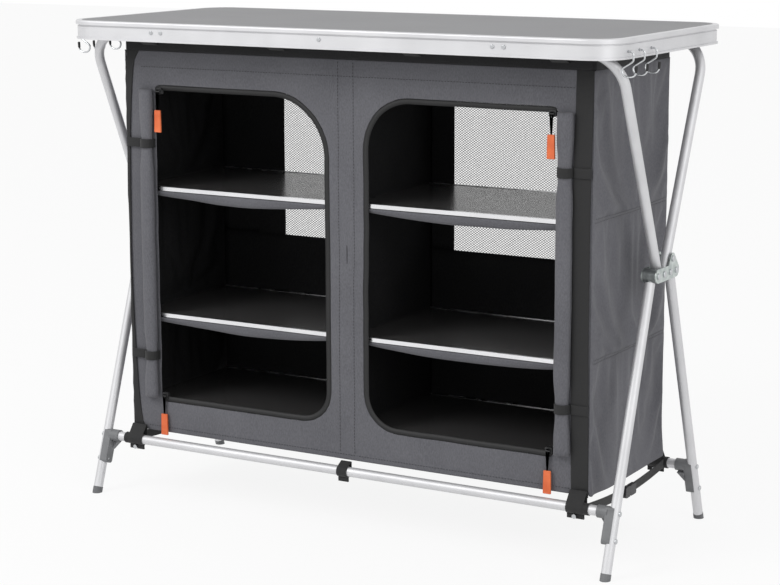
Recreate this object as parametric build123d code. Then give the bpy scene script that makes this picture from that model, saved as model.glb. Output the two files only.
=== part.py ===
from build123d import *
import os
from math import atan2, cos, degrees, hypot, radians, sin

os.makedirs("parts", exist_ok=True)

# A folding camping cupboard in millimetres, +Z up, +X to its right and -Y to its front.
# The origin is on the floor, at the middle of the foot print.

# Worktop
worktop_length = 1000.0
worktop_depth = 448.0
worktop_height = 820.0
band_height = 31.0
corner_radius = 54.0
lip_height = 7.0
groove_height = 3.0
groove_setback = 4.5
face_setback = 3.0
foot_lip_height = 3.0
foot_lip_setback = 1.0
band_wall = 2.5
lip_round = 2.4
board_thickness = 10.0
board_rebate = 0.8
board_fit = 0.2
board_lip_cover = 4.0
ledge_thickness = 2.0
ledge_width = 8.0

# Rivets and clips of the worktop
rivet_head_radius = 3.4
rivet_head_height = 1.6
rivet_pair_share = 0.623
rivet_pair_pitch = 19.0
band_rivet_drop = 16.0
clip_length = 40.0
clip_wall = 3.0
clip_clearance = 0.3

# Tubes of the folding frame
tube_diameter = 16.0
tube_wall = 1.0
tube_inset = 16.0
bar_y = 168.0
bar_gap_under_board = 4.0
bar_bend_radius = 60.0
rail_z = 97.0
foot_y = 188.0

# Hubs where the four tubes of one side meet
hub_z = 446.0
leg_pivot_y = 35.0
upper_pivot_y = 12.0
hub_gap = 21.0
plate_thickness = 2.0
plate_end_radius = 11.0
plate_arm_radius = 9.0
arm_rivet_distance = 22.0
upper_tube_tail = 6.5
pin_diameter = 6.0
pin_fit = 0.05
pin_head_radius = 5.0
pin_head_height = 2.2
knuckle_radius = 11.0
knuckle_side_gap = 0.5
knuckle_plug_length = 18.0

# Feet and rail brackets
foot_collar = 0.4
foot_plug_length = 18.0
tube_end_to_floor = 10.0
bracket_wall = 2.2
sleeve_length = 20.0
bracket_arm_length = 49.0
bracket_arm_top = 9.5
bracket_width = 18.0
gusset_run = 12.0
gusset_drop = 15.0
gusset_thickness = 8.0
bracket_wrap = 9.0
bracket_rivet_pitch = 42.0
bracket_rivet_radius = 2.5

# Cloth cupboard that hangs in the frame
cabinet_side_gap = 51.0
cabinet_half_depth = 142.0
cabinet_bottom = 113.0
cabinet_drop = 32.0
cloth = 1.2
top_band_height = 20.0
top_band_thickness = 1.5
seam_rise = 3.0
side_fold_y = [-46.0, 52.0]
seam_swing = [0.4, 0.4, 0.4]
fold_swing = [[1.5, -1.0, 1.2], [3.0, -1.8, 2.4], [3.8, 2.4, -1.5], [2.2, 3.4, 1.8]]
opening_margin = 60.0
opening_inner_x = 32.0
opening_bottom = 168.0
opening_drop = 77.0
opening_round = 100.0
opening_low_round = 64.0
opening_corner = 8.0
zip_width = 9.0

# Shelf boards
floor_board_top = 167.0
middle_board_top = 320.0
top_board_top = 538.0
shelf_thickness = 5.0
shelf_margin = 7.0
shelf_depth_margin = 6.0
trim_wall = 0.8
trim_depth = 6.0
sling_sag = 17.0
sling_inset = 2.0

# Mesh windows in the back
window_inner_x = 44.0
window_margin = 133.0
window_bottom = 423.0
window_drop = 61.0
mesh_columns = 8
mesh_rows = 18
mesh_thickness = 0.8
mesh_rib = 3.6
mesh_margin = 5.0

# Rolled up doors
roll_margin = 44.5
roll_width = 28.0
roll_depth = 15.0
roll_end_gap = 7.0
low_strap_height = 73.0
high_strap_drop = 91.0
roll_strap_height = 15.0
roll_strap_flange = 1.0
roll_strap_setback = 1.0
roll_strap_slack = 0.8
roll_pinch = 0.8

# Webbing
webbing = 1.5
webbing_width = 29.0
narrow_webbing_width = 19.0
loop_clearance = 0.3
loop_lap = 10.0
loop_lap_lean = 1.0
loop_drop = 9.0
stud_radius = 3.6
stud_head = 1.2
strap_overhang = 2.0
hanger_shares = [-0.873, -0.29, 0.29, 0.873]
side_strap_width = 15.0
side_strap_sag = 9.0
side_strap_gap = 2.0
buckle_share = 0.55
buckle_length = 40.0
buckle_height = 18.0
buckle_thickness = 7.0
buckle_gap = 0.4

# Zip sliders and pulls
slider_margin = 8.0
slider_length = 12.0
slider_grip = 4.0
slider_height = 10.0
slider_wall = 2.2
slider_clearance = 0.3
pull_cord_radius = 1.1
pull_cord_length = 31.0
pull_tab_length = 38.0
pull_tab_width = 14.0
pull_tab_thickness = 4.0
bail_radius = 1.0
bail_width = 6.0
bail_post = 1.2
pull_ring_radius = 2.6
pull_ring_clearance = 0.4
pull_ring_width = 3.0
bail_stand_off = 3.2

# Hooks on both ends of the worktop
hook_shares = [-0.75, -0.57, -0.37]
hook_wire_radius = 1.5
hook_hole_clearance = 0.8
hook_hole_drop = 20.0
hook_reach = 34.0
hook_tip_length = 9.0
hook_tip_wall = 0.6

# Values worked out from the sizes above
tube_radius = tube_diameter / 2
band_bottom = worktop_height - band_height
board_bottom = worktop_height - board_thickness
board_edge_top = worktop_height - board_rebate
slot_setback = groove_setback + 1.5
wall_inside = face_setback + band_wall
half_depth = worktop_depth / 2
half_length = worktop_length / 2
hook_positions = [share * half_depth for share in hook_shares]
tube_plane_x = half_length - tube_inset
rivet_pair_centre = half_length * rivet_pair_share
cabinet_half_width = tube_plane_x - cabinet_side_gap
cabinet_top = worktop_height - cabinet_drop
opening_outer_x = cabinet_half_width - opening_margin
opening_top = cabinet_top - opening_drop
window_outer_x = cabinet_half_width - window_margin
window_top = cabinet_top - window_drop
shelf_outer_x = cabinet_half_width - shelf_margin
shelf_half_depth = cabinet_half_depth - shelf_depth_margin
roll_centre_x = cabinet_half_width - roll_margin
roll_bottom = opening_bottom + roll_end_gap
roll_top = opening_top - roll_end_gap
roll_strap_z = [roll_bottom + low_strap_height, roll_top - high_strap_drop]
slider_x = opening_outer_x - slider_margin
bar_z = board_bottom - bar_gap_under_board - tube_radius
upper_run = bar_y - upper_pivot_y
upper_rise = bar_z - hub_z
upper_angle = degrees(atan2(upper_run, upper_rise))
leg_run = foot_y - leg_pivot_y
leg_length = hypot(leg_run, hub_z)
leg_angle = degrees(atan2(leg_run, hub_z))
rail_distance = (hub_z - rail_z) / cos(radians(leg_angle))
rail_y = leg_pivot_y + rail_distance * sin(radians(leg_angle))
rivet_z = worktop_height - band_rivet_drop
panel_front = -cabinet_half_depth
panel_inside = cabinet_half_depth - cloth
panel_top = cabinet_top - top_band_height
pin_radius = pin_diameter / 2
plate_inner_x = tube_plane_x - hub_gap / 2
plate_outer_x = tube_plane_x + hub_gap / 2


def box(x0, x1, y0, y1, z0, z1):
    centre = Pos((x0 + x1) / 2, (y0 + y1) / 2, (z0 + z1) / 2)
    return centre * Box(abs(x1 - x0), abs(y1 - y0), abs(z1 - z0))


def rod_x(x0, x1, y, z, radius):
    return Pos((x0 + x1) / 2, y, z) * Rot(0, 90, 0) * Cylinder(radius, abs(x1 - x0))


def rod_y(x, y0, y1, z, radius):
    return Pos(x, (y0 + y1) / 2, z) * Rot(90, 0, 0) * Cylinder(radius, abs(y1 - y0))


def along_x(profile, x0, x1):
    """A profile drawn in Y and Z, made solid from x0 to x1."""
    return Pos(min(x0, x1), 0, 0) * extrude(Plane.YZ * profile, abs(x1 - x0))


def along_y(profile, y0, y1):
    """A profile drawn in X and Z, made solid from y0 to y1."""
    return Pos(0, max(y0, y1), 0) * extrude(Plane.XZ * profile, abs(y1 - y0))


def left_of(shape):
    return mirror(shape, about=Plane.YZ)


def behind(shape):
    return mirror(shape, about=Plane.XZ)


def save(name, *pieces):
    solids = []
    for piece in pieces:
        solids.extend(piece.solids())
    export_step(Compound(solids), f"parts/{name}.step")
    return solids


def hull_of(*circles):
    """The face round a set of circles, each given as (y, z, radius)."""
    edges = ShapeList()
    for y, z, radius in circles:
        edges.extend((Pos(y, z) * Circle(radius)).edges())
    return make_hull(edges)


# Worktop
def outline_layer(setback, z0, z1):
    length = worktop_length - 2 * setback
    depth = worktop_depth - 2 * setback
    profile = RectangleRounded(length, depth, corner_radius - setback)
    return Pos(0, 0, z0) * extrude(profile, z1 - z0)


def edge_band():
    lip_bottom = worktop_height - lip_height
    groove_bottom = lip_bottom - groove_height
    lip = outline_layer(0, lip_bottom, worktop_height)
    lip = fillet(lip.faces().sort_by(Axis.Z)[-1].edges(), lip_round)
    band = lip + outline_layer(groove_setback, groove_bottom, lip_bottom)
    band += outline_layer(face_setback, band_bottom, groove_bottom)
    band += outline_layer(foot_lip_setback, band_bottom, band_bottom + foot_lip_height)
    band -= outline_layer(wall_inside, band_bottom, board_bottom - ledge_thickness)
    band -= outline_layer(slot_setback + ledge_width, band_bottom, board_bottom)
    band -= outline_layer(slot_setback, board_bottom, board_edge_top)
    band -= outline_layer(slot_setback + board_lip_cover, board_edge_top, worktop_height)
    hole_radius = hook_wire_radius + hook_hole_clearance
    hole_z = worktop_height - hook_hole_drop
    for y in hook_positions:
        for side in (-1, 1):
            x_in = side * (half_length - wall_inside - 1)
            x_out = side * (half_length - face_setback + 1)
            band -= rod_x(x_in, x_out, y, hole_z, hole_radius)
    return band


def rivet_positions():
    half = rivet_pair_pitch / 2
    pairs = [side * rivet_pair_centre + shift for side in (-1, 1) for shift in (-half, half)]
    return sorted(pairs + [0.0])


def band_rivets():
    face_y = half_depth - face_setback
    heads = []
    for x in rivet_positions():
        for side in (-1, 1):
            head = rod_y(x, side * face_y, side * (face_y + rivet_head_height), rivet_z, rivet_head_radius)
            outer_face = head.faces().sort_by(Axis.Y)[-1 if side > 0 else 0]
            heads.append(fillet(outer_face.edges(), rivet_head_height * 0.6))
    return heads


def bar_clip(x):
    inside_y = half_depth - wall_inside
    reach = tube_radius + clip_clearance
    saddle_top = bar_z + reach
    tail_z = bar_z - tube_radius
    crown = box(x - clip_length / 2, x + clip_length / 2, -inside_y, -bar_y + reach + clip_wall,
                saddle_top, board_bottom)
    crown -= box(x - clip_length, x + clip_length, -inside_y - 1, -inside_y + ledge_width + 1,
                 board_bottom - ledge_thickness, board_bottom + 1)
    saddle = box(x - clip_length / 2, x + clip_length / 2, -bar_y - reach - clip_wall,
                 -bar_y + reach + clip_wall, tail_z, saddle_top)
    saddle -= rod_x(x - clip_length, x + clip_length, -bar_y, bar_z, reach)
    saddle -= box(x - clip_length, x + clip_length, -bar_y - reach, -bar_y + reach, tail_z - 1, bar_z)
    flange = box(x - clip_length / 2, x + clip_length / 2, -inside_y, -inside_y + clip_wall,
                 rivet_z - 7, board_bottom - ledge_thickness)
    return crown + saddle + flange


def worktop_board():
    """A board whose edge is stepped down, so that its face lies flush inside the lip of the band."""
    face_setback_inside_lip = slot_setback + board_lip_cover + board_fit
    face = outline_layer(face_setback_inside_lip, board_edge_top, worktop_height)
    return outline_layer(slot_setback, board_bottom, board_edge_top) + face


save("worktop_board", worktop_board())
save("worktop_edge_band", edge_band())
save("worktop_rivets", *band_rivets())
front_clips = [bar_clip(side * rivet_pair_centre) for side in (-1, 1)]
save("bar_clips", *front_clips, *[behind(clip) for clip in front_clips])


# Upper frames, each an upside down U of tube that leans out to the top
def hub_holes(pivot_y, angle_sign):
    """Cross holes for the pins of one upper frame tube end."""
    lean = radians(upper_angle)
    cut = rod_x(-half_length, half_length, pivot_y, hub_z, pin_radius)
    if angle_sign > 0:
        arm_y = pivot_y + arm_rivet_distance * sin(lean)
        arm_z = hub_z + arm_rivet_distance * cos(lean)
        cut += rod_x(-half_length, half_length, arm_y, arm_z, pin_radius)
    return cut


def upper_frame(side):
    lean = radians(upper_angle)
    low_y = side * (upper_pivot_y - upper_tube_tail * sin(lean))
    low_z = hub_z - upper_tube_tail * cos(lean)
    corners = [
        (tube_plane_x, low_y, low_z),
        (tube_plane_x, side * bar_y, bar_z),
        (-tube_plane_x, side * bar_y, bar_z),
        (-tube_plane_x, low_y, low_z),
    ]
    path = FilletPolyline(*corners, radius=bar_bend_radius)
    ring = Circle(tube_radius) - Circle(tube_radius - tube_wall)
    tube = sweep(Plane(origin=path @ 0, z_dir=path % 0) * ring, path=path)
    return tube - hub_holes(side * upper_pivot_y, side)


save("upper_front_frame", upper_frame(-1))
save("upper_rear_frame", upper_frame(1))


# Hubs
def arm_rivet_place():
    lean = radians(upper_angle)
    return upper_pivot_y + arm_rivet_distance * sin(lean), hub_z + arm_rivet_distance * cos(lean)


def hub_pin_places():
    row = [(y, hub_z) for y in (-leg_pivot_y, -upper_pivot_y, upper_pivot_y, leg_pivot_y)]
    return row + [arm_rivet_place()]


def hub_plate(x0, x1):
    arm_y, arm_z = arm_rivet_place()
    bar = hull_of((-leg_pivot_y, hub_z, plate_end_radius), (leg_pivot_y, hub_z, plate_end_radius))
    arm = hull_of((leg_pivot_y, hub_z, plate_end_radius), (upper_pivot_y, hub_z, plate_end_radius),
                  (arm_y, arm_z, plate_arm_radius))
    plate = along_x(bar + arm, x0, x1)
    for y, z in hub_pin_places():
        plate -= rod_x(x0 - 1, x1 + 1, y, z, pin_radius)
    return plate


def hub_pin(y, z, spacer):
    """One rivet through both plates, with a head on each and, on a fixed tube, two spacers."""
    outer = plate_outer_x + plate_thickness
    inner = plate_inner_x - plate_thickness
    pin = rod_x(inner, outer, y, z, pin_radius)
    for start, end in ((outer, outer + pin_head_height), (inner, inner - pin_head_height)):
        head = rod_x(start, end, y, z, pin_head_radius)
        face = head.faces().sort_by(Axis.X)[-1 if end > start else 0]
        pin += fillet(face.edges(), pin_head_height * 0.6)
    if spacer:
        for start, end in ((plate_inner_x, tube_plane_x - tube_radius),
                           (tube_plane_x + tube_radius, plate_outer_x)):
            pin += rod_x(start, end, y, z, pin_radius + 1.5)
    return pin


right_plates = [
    hub_plate(plate_outer_x, plate_outer_x + plate_thickness),
    hub_plate(plate_inner_x - plate_thickness, plate_inner_x),
]
right_pins = [hub_pin(y, z, abs(y) < leg_pivot_y) for y, z in hub_pin_places()]
save("hub_plates", *right_plates, *[left_of(plate) for plate in right_plates])
save("hub_pins", *right_pins, *[left_of(pin) for pin in right_pins])


# Lower legs. Each leg is drawn straight down from its pivot and then leaned to the front.
lean_leg = Pos(0, -leg_pivot_y, hub_z) * Rot(-leg_angle, 0, 0)


def leg_rivet_distances():
    return [rail_distance, rail_distance + bracket_rivet_pitch]


def leg_tube():
    top = knuckle_radius
    bottom = leg_length - tube_end_to_floor
    length = bottom - top
    centre = Pos(tube_plane_x, 0, -(top + bottom) / 2)
    tube = centre * (Cylinder(tube_radius, length) - Cylinder(tube_radius - tube_wall, length))
    for distance in leg_rivet_distances():
        tube -= rod_x(tube_plane_x - 20, tube_plane_x + 20, 0, -distance, bracket_rivet_radius)
    return lean_leg * tube


def knuckle():
    half = hub_gap / 2 - knuckle_side_gap
    barrel = rod_x(tube_plane_x - half, tube_plane_x + half, 0, 0, knuckle_radius)
    plug_end = knuckle_radius + knuckle_plug_length
    barrel += Pos(tube_plane_x, 0, -plug_end / 2) * Cylinder(tube_radius - tube_wall, plug_end)
    barrel -= rod_x(tube_plane_x - 20, tube_plane_x + 20, 0, 0, pin_radius + pin_fit)
    return lean_leg * barrel


def foot_cap():
    """A plug in the end of the leg, with a collar hardly wider than the tube, cut level with the floor."""
    top = leg_length - tube_end_to_floor
    bottom = leg_length + 12
    cap = Pos(tube_plane_x, 0, -(top + bottom) / 2) * Cylinder(tube_radius + foot_collar, bottom - top)
    plug_end = top - foot_plug_length
    plug_start = top + 1
    cap += Pos(tube_plane_x, 0, -(plug_start + plug_end) / 2) * Cylinder(tube_radius - tube_wall,
                                                                         plug_start - plug_end)
    cap = lean_leg * cap
    return cap - box(0, worktop_length, -worktop_depth, worktop_depth, -60, 0)


def rail_bracket():
    leg_inside = tube_plane_x - tube_radius
    sleeve_end = leg_inside - sleeve_length
    sleeve = rod_x(sleeve_end, leg_inside - 2, 0, -rail_distance, tube_radius + bracket_wall)
    arm_low = -(rail_distance + bracket_arm_length)
    arm = box(leg_inside - 5, leg_inside + bracket_wrap, -bracket_width / 2, bracket_width / 2,
              arm_low, -rail_distance + bracket_arm_top)
    arm = fillet(arm.edges().filter_by(Axis.X), 5.0)
    sleeve_under = -rail_distance - tube_radius - bracket_wall / 4
    gusset = Polygon((leg_inside - gusset_run - 4, sleeve_under), (leg_inside - 4, sleeve_under),
                     (leg_inside - 4, sleeve_under - gusset_drop), align=None)
    body = sleeve + arm + along_y(gusset, -gusset_thickness / 2, gusset_thickness / 2)
    body -= rod_x(sleeve_end - 1, leg_inside - 4, 0, -rail_distance, tube_radius)
    body -= Pos(tube_plane_x, 0, -leg_length / 2) * Cylinder(tube_radius, leg_length)
    for distance in leg_rivet_distances():
        body -= rod_x(leg_inside - 8, tube_plane_x, 0, -distance, bracket_rivet_radius)
    return lean_leg * body


def bracket_rivets():
    rivets = []
    start = tube_plane_x - tube_radius - 4
    end = tube_plane_x + tube_radius
    for distance in leg_rivet_distances():
        shank = rod_x(start, end, 0, -distance, bracket_rivet_radius)
        head = rod_x(end - 0.6, end + rivet_head_height, 0, -distance, rivet_head_radius + 0.8)
        head = fillet(head.faces().sort_by(Axis.X)[-1].edges(), rivet_head_height * 0.6)
        head -= Pos(tube_plane_x, 0, -leg_length / 2) * Cylinder(tube_radius, leg_length)
        rivets.append(lean_leg * (shank + head))
    return rivets


def front_rail():
    end = tube_plane_x - tube_radius - 4
    rail = rod_x(-end, end, 0, -rail_distance, tube_radius)
    rail -= rod_x(-end, end, 0, -rail_distance, tube_radius - tube_wall)
    return lean_leg * rail


right_leg = leg_tube()
save("lower_front_leg_right", right_leg)
save("lower_front_leg_left", left_of(right_leg))
save("lower_rear_leg_right", behind(right_leg))
save("lower_rear_leg_left", behind(left_of(right_leg)))
leg_sets = {
    "knuckles": [knuckle()],
    "feet": [foot_cap()],
    "rail_brackets": [rail_bracket()],
}
for name, pieces in leg_sets.items():
    both = pieces + [left_of(piece) for piece in pieces]
    save(f"front_{name}", *both)
    save(f"rear_{name}", *[behind(piece) for piece in both])
save("front_rail", front_rail())
save("rear_rail", behind(front_rail()))


# Webbing
def tear_loop(bar_y_place, bar_z_place, tips, width, x):
    """A strap laid round a tube and drawn in to one or two tips, each (y, z, half thickness)."""
    inner_radius = tube_radius + loop_clearance
    inner_tips = [(y, z, 0.15) for y, z, half in tips]
    outer = hull_of((bar_y_place, bar_z_place, inner_radius + webbing), *tips)
    inner = hull_of((bar_y_place, bar_z_place, inner_radius), *inner_tips)
    return along_x(outer - inner, x - width / 2, x + width / 2)


corner_strap_x = cabinet_half_width - webbing_width / 2
stud_reach = tube_radius * 0.6 + webbing + stud_head
strap_face = cabinet_half_depth + webbing


def rail_loops(side):
    """Corner loops and the middle loop round one rail, with the press studs of the corner loops."""
    lap_y = side * (strap_face + loop_clearance + loop_lap_lean + webbing)
    bottom = (side * (rail_y + 1), rail_z - tube_radius - loop_drop, webbing)
    top = (lap_y, cabinet_bottom + loop_lap, webbing)
    low_top = (lap_y, cabinet_bottom, webbing)
    loops = [tear_loop(side * rail_y, rail_z, [top, bottom], webbing_width, sign * corner_strap_x)
             for sign in (-1, 1)]
    loops.append(tear_loop(side * rail_y, rail_z, [low_top, bottom], narrow_webbing_width, 0))
    stud_z = rail_z - tube_radius - loop_drop / 2
    studs = [rod_y(sign * corner_strap_x, side * (rail_y + 1 - stud_reach), side * (rail_y + 1 + stud_reach),
                   stud_z, stud_radius) for sign in (-1, 1)]
    return [loops[0] - studs[0], loops[1] - studs[1], loops[2]], studs


def corner_strap(side, sign):
    return box(sign * (cabinet_half_width - webbing_width), sign * cabinet_half_width,
               side * cabinet_half_depth, side * strap_face, cabinet_bottom - strap_overhang, panel_top)


def hanger_loop(side, x):
    tip_y = side * (cabinet_half_depth + top_band_thickness + webbing)
    tip = (tip_y, cabinet_top - top_band_height / 2, webbing)
    return tear_loop(side * bar_y, bar_z, [tip], webbing_width, x)


right_rivets = bracket_rivets()
both_rivets = right_rivets + [left_of(rivet) for rivet in right_rivets]
front_loops, front_studs = rail_loops(-1)
save("front_rail_loops", *front_loops)
save("front_rivets", *both_rivets, *front_studs)
save("rear_rail_loops", *[behind(loop) for loop in front_loops])
save("rear_rivets", *[behind(piece) for piece in both_rivets + front_studs])
save("corner_straps", *[corner_strap(side, sign) for side in (-1, 1) for sign in (-1, 1)])
hanger_positions = [share * cabinet_half_width for share in hanger_shares]
save("hanger_loops", *[hanger_loop(side, x) for side in (-1, 1) for x in hanger_positions])


def side_strap(side, sign, end_y):
    """Half of the strap that ties the two rails together along one end of the cupboard."""
    start_y = rail_y
    start_z = rail_z + webbing
    mid_z = rail_z - side_strap_sag
    half = side_strap_width / 2
    with BuildSketch() as profile:
        with BuildLine():
            upper = Line((side * start_y, start_z + half), (side * end_y, mid_z + half))
            lower = Line((side * end_y, mid_z - half), (side * start_y, start_z - half))
            Line(upper @ 1, lower @ 0)
            Line(lower @ 1, upper @ 0)
        make_face()
    x0 = cabinet_half_width + side_strap_gap
    strap = along_x(profile.sketch, x0, x0 + webbing)
    strap -= rod_x(x0 - 1, x0 + 4, side * rail_y, rail_z, tube_radius + loop_clearance)
    return strap if sign > 0 else left_of(strap)


def buckle_block(y0, y1, sign):
    x0 = cabinet_half_width + side_strap_gap
    z0 = rail_z - side_strap_sag
    half = buckle_height / 2
    body = box(x0, x0 + buckle_thickness, y0, y1, z0 - half, z0 + half)
    body = fillet(body.edges().filter_by(Axis.X), 3.0)
    return body if sign > 0 else left_of(body)


buckle_end = buckle_length * buckle_share
tongue_end = buckle_length - buckle_end
save("front_side_straps", *[side_strap(-1, sign, tongue_end) for sign in (-1, 1)])
save("rear_side_straps", *[side_strap(1, sign, buckle_end) for sign in (-1, 1)])
save("strap_buckles", *[buckle_block(0, buckle_end, sign) for sign in (-1, 1)])
save("strap_tongues", *[buckle_block(-tongue_end, -buckle_gap, sign) for sign in (-1, 1)])


# Cloth panels
def opening_face():
    """One door opening, on the right half, with a round inner end and tight outer corners."""
    width = opening_outer_x - opening_inner_x
    height = opening_top - opening_bottom
    face = Rectangle(width, height)
    face = fillet(face.vertices().group_by(Axis.X)[0].sort_by(Axis.Y)[-1], opening_round)
    low_inner = [vertex for vertex in face.vertices() if vertex.X < 0 and vertex.Y < -height / 2 + 0.001]
    face = fillet(low_inner, opening_low_round)
    outer = [vertex for vertex in face.vertices() if abs(vertex.X - width / 2) < 0.001]
    face = fillet(outer, opening_corner)
    centre_x = (opening_outer_x + opening_inner_x) / 2
    centre_z = (opening_top + opening_bottom) / 2
    return Pos(centre_x, centre_z) * face


def front_panel():
    height = panel_top - cabinet_bottom
    sheet = Pos(0, (panel_top + cabinet_bottom) / 2) * Rectangle(2 * cabinet_half_width, height)
    opening = opening_face()
    sheet -= opening
    sheet -= mirror(opening, about=Plane.YZ)
    return along_y(sheet, panel_front, panel_front + cloth)


def zip_tape():
    opening = opening_face()
    strip = opening - offset(opening, -zip_width)
    cut_height = opening_top - opening_bottom - 2 * zip_width
    centre_z = (opening_top + opening_bottom) / 2
    strip -= Pos(opening_outer_x, centre_z) * Rectangle(2 * zip_width, cut_height)
    return along_y(strip, panel_front, panel_front + cloth)


def panel_section(z, bulges):
    """The line of a hung side panel seen from above, as shallow arcs, with the cloth's thickness."""
    joints_y = [-panel_inside, *side_fold_y, panel_inside]
    outer_x = cabinet_half_width
    inner_x = cabinet_half_width - cloth
    with BuildSketch() as profile:
        with BuildLine():
            ends = []
            for x in (inner_x, outer_x):
                arcs = []
                for start, end, bulge in zip(joints_y, joints_y[1:], bulges):
                    arcs.append(ThreePointArc((x, start), (x + bulge, (start + end) / 2), (x, end)))
                ends.append((arcs[0] @ 0, arcs[-1] @ 1))
            Line(ends[0][0], ends[1][0])
            Line(ends[0][1], ends[1][1])
        make_face()
    return Pos(0, 0, z) * profile.sketch


def side_panel():
    """Cloth that hangs in three stretches between two seams, each slack in its own way."""
    lower_seam = middle_board_top + seam_rise
    upper_seam = top_board_top + seam_rise
    stations = [
        (cabinet_bottom, fold_swing[0]),
        ((cabinet_bottom + lower_seam) / 2, fold_swing[1]),
        (lower_seam, seam_swing),
        ((lower_seam + upper_seam) / 2, fold_swing[2]),
        (upper_seam, seam_swing),
        ((upper_seam + panel_top) / 2, fold_swing[3]),
        (panel_top, seam_swing),
    ]
    return loft([panel_section(z, bulges) for z, bulges in stations], ruled=True)


def back_panel():
    height = panel_top - cabinet_bottom
    sheet = Pos(0, (panel_top + cabinet_bottom) / 2) * Rectangle(2 * cabinet_half_width, height)
    for sign in (-1, 1):
        sheet -= window_place(sign) * window_face()
    return along_y(sheet, panel_inside, panel_inside + cloth)


def window_face():
    return Rectangle(window_outer_x - window_inner_x, window_top - window_bottom)


def window_place(sign):
    return Pos(sign * (window_inner_x + window_outer_x) / 2, (window_top + window_bottom) / 2)


def mesh_window(sign):
    """A flat net of diamond gaps, in rows that are half a step apart."""
    net_width = window_outer_x - window_inner_x - 2 * mesh_margin
    net_height = window_top - window_bottom - 2 * mesh_margin
    step_x = net_width / mesh_columns
    step_z = net_height / mesh_rows
    half_x = step_x / 2 - mesh_rib / 2
    half_z = step_z - mesh_rib
    gap = Polygon((half_x, 0), (0, half_z), (-half_x, 0), (0, -half_z))
    places = []
    for row in range(1, mesh_rows):
        offset_row = row % 2
        z = -net_height / 2 + row * step_z
        for column in range(mesh_columns - offset_row):
            x = -net_width / 2 + (column + 0.5 + 0.5 * offset_row) * step_x
            places.append(Location((x, z)))
    sheet = window_face() - [place * gap for place in places]
    middle = cabinet_half_depth - cloth / 2
    return along_y(window_place(sign) * sheet, middle - mesh_thickness / 2, middle + mesh_thickness / 2)


def top_band():
    """The black hem round the top, sewn from four lengths of tape."""
    outer_x = cabinet_half_width + top_band_thickness
    outer_y = cabinet_half_depth + top_band_thickness
    inner_x = cabinet_half_width - cloth
    front = box(-outer_x, outer_x, -outer_y, -panel_inside, panel_top, cabinet_top)
    right = box(inner_x, outer_x, -panel_inside, panel_inside, panel_top, cabinet_top)
    return [front, behind(front), right, left_of(right)]


right_panel = side_panel()
save("front_panel", front_panel())
save("back_panel", back_panel())
save("side_panel_right", right_panel)
save("side_panel_left", left_of(right_panel))
save("divider", box(-cloth / 2, cloth / 2, -panel_inside, panel_inside, cabinet_bottom, panel_top))
save("mesh_windows", mesh_window(-1), mesh_window(1))
save("top_band", *top_band())
save("zip_tapes", zip_tape(), left_of(zip_tape()))


# Rolled up doors, narrow where the two small straps hold them
def bow_face(width, depth):
    """A flat back with two arcs over it."""
    with BuildSketch() as face:
        with BuildLine():
            left = ThreePointArc((-width / 2, 0), (-width * 0.4, -depth * 0.72), (0, -depth))
            right = ThreePointArc((0, -depth), (width * 0.4, -depth * 0.72), (width / 2, 0))
            Line(right @ 1, left @ 0)
        make_face()
    return face.sketch


def door_roll():
    low, high = roll_strap_z
    half = roll_strap_height / 2
    stations = [
        (roll_bottom, 1.0, 0.6),
        (low - 45, 1.02, 1.0),
        (low - half, roll_pinch, roll_pinch),
        (low + half, roll_pinch, roll_pinch),
        (low + 60, 1.0, 1.0),
        ((low + high) / 2, 1.08, 1.05),
        (high - 60, 1.0, 1.0),
        (high - half, roll_pinch, roll_pinch),
        (high + half, roll_pinch, roll_pinch),
        (high + 50, 1.0, 0.95),
        (roll_top, 0.9, 0.5),
    ]
    sections = [Pos(roll_centre_x, panel_front, z) * bow_face(roll_width * wide, roll_depth * deep)
                for z, wide, deep in stations]
    return loft(sections, ruled=True)


def roll_strap(z):
    """A ring round the roll, with a short inner end and an outer end over the corner strap."""
    width = roll_width * roll_pinch
    depth = roll_depth * roll_pinch
    inner = bow_face(width + 2 * roll_strap_slack, depth + roll_strap_slack)
    outer = bow_face(width + 2 * (roll_strap_slack + webbing), depth + roll_strap_slack + webbing)
    strap = extrude(outer - inner, roll_strap_height)
    ring_x = width / 2 + roll_strap_slack
    strap += box(-roll_width / 2 - roll_strap_flange, -ring_x, -webbing, 0, 0, roll_strap_height)
    strap += box(ring_x + webbing / 5, roll_margin - roll_strap_setback, -2 * webbing, -webbing,
                 0, roll_strap_height)
    return Pos(roll_centre_x, panel_front, z - roll_strap_height / 2) * strap


right_roll = door_roll()
right_roll_straps = [roll_strap(z) for z in roll_strap_z]
save("door_roll_right", right_roll)
save("door_roll_left", left_of(right_roll))
save("roll_straps", *right_roll_straps, *[left_of(strap) for strap in right_roll_straps])


# Shelf boards, their edge trims and the cloth slings under them
def shelf_board(top):
    return box(cloth / 2, shelf_outer_x, -shelf_half_depth, shelf_half_depth, top - shelf_thickness, top)


def edge_trim(top, side):
    outer_y = side * (shelf_half_depth + trim_wall)
    inner_y = side * (shelf_half_depth + trim_wall - trim_depth)
    channel = box(cloth / 2, shelf_outer_x, inner_y, outer_y, top - shelf_thickness - trim_wall,
                  top + trim_wall)
    return channel - shelf_board(top)


def sling(top):
    """Cloth under a board, held at both sides and slack in the middle."""
    under = top - shelf_thickness - trim_wall
    start = cloth / 2
    end = shelf_outer_x + sling_inset
    with BuildSketch() as profile:
        with BuildLine():
            upper = ThreePointArc((start, under), ((start + end) / 2, under - sling_sag), (end, under))
            lower = ThreePointArc((start, under - cloth), ((start + end) / 2, under - sling_sag - cloth),
                                  (end, under - cloth))
            Line(upper @ 0, lower @ 0)
            Line(upper @ 1, lower @ 1)
        make_face()
    reach = shelf_half_depth + trim_wall
    return along_y(profile.sketch, -reach, reach)


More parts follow.
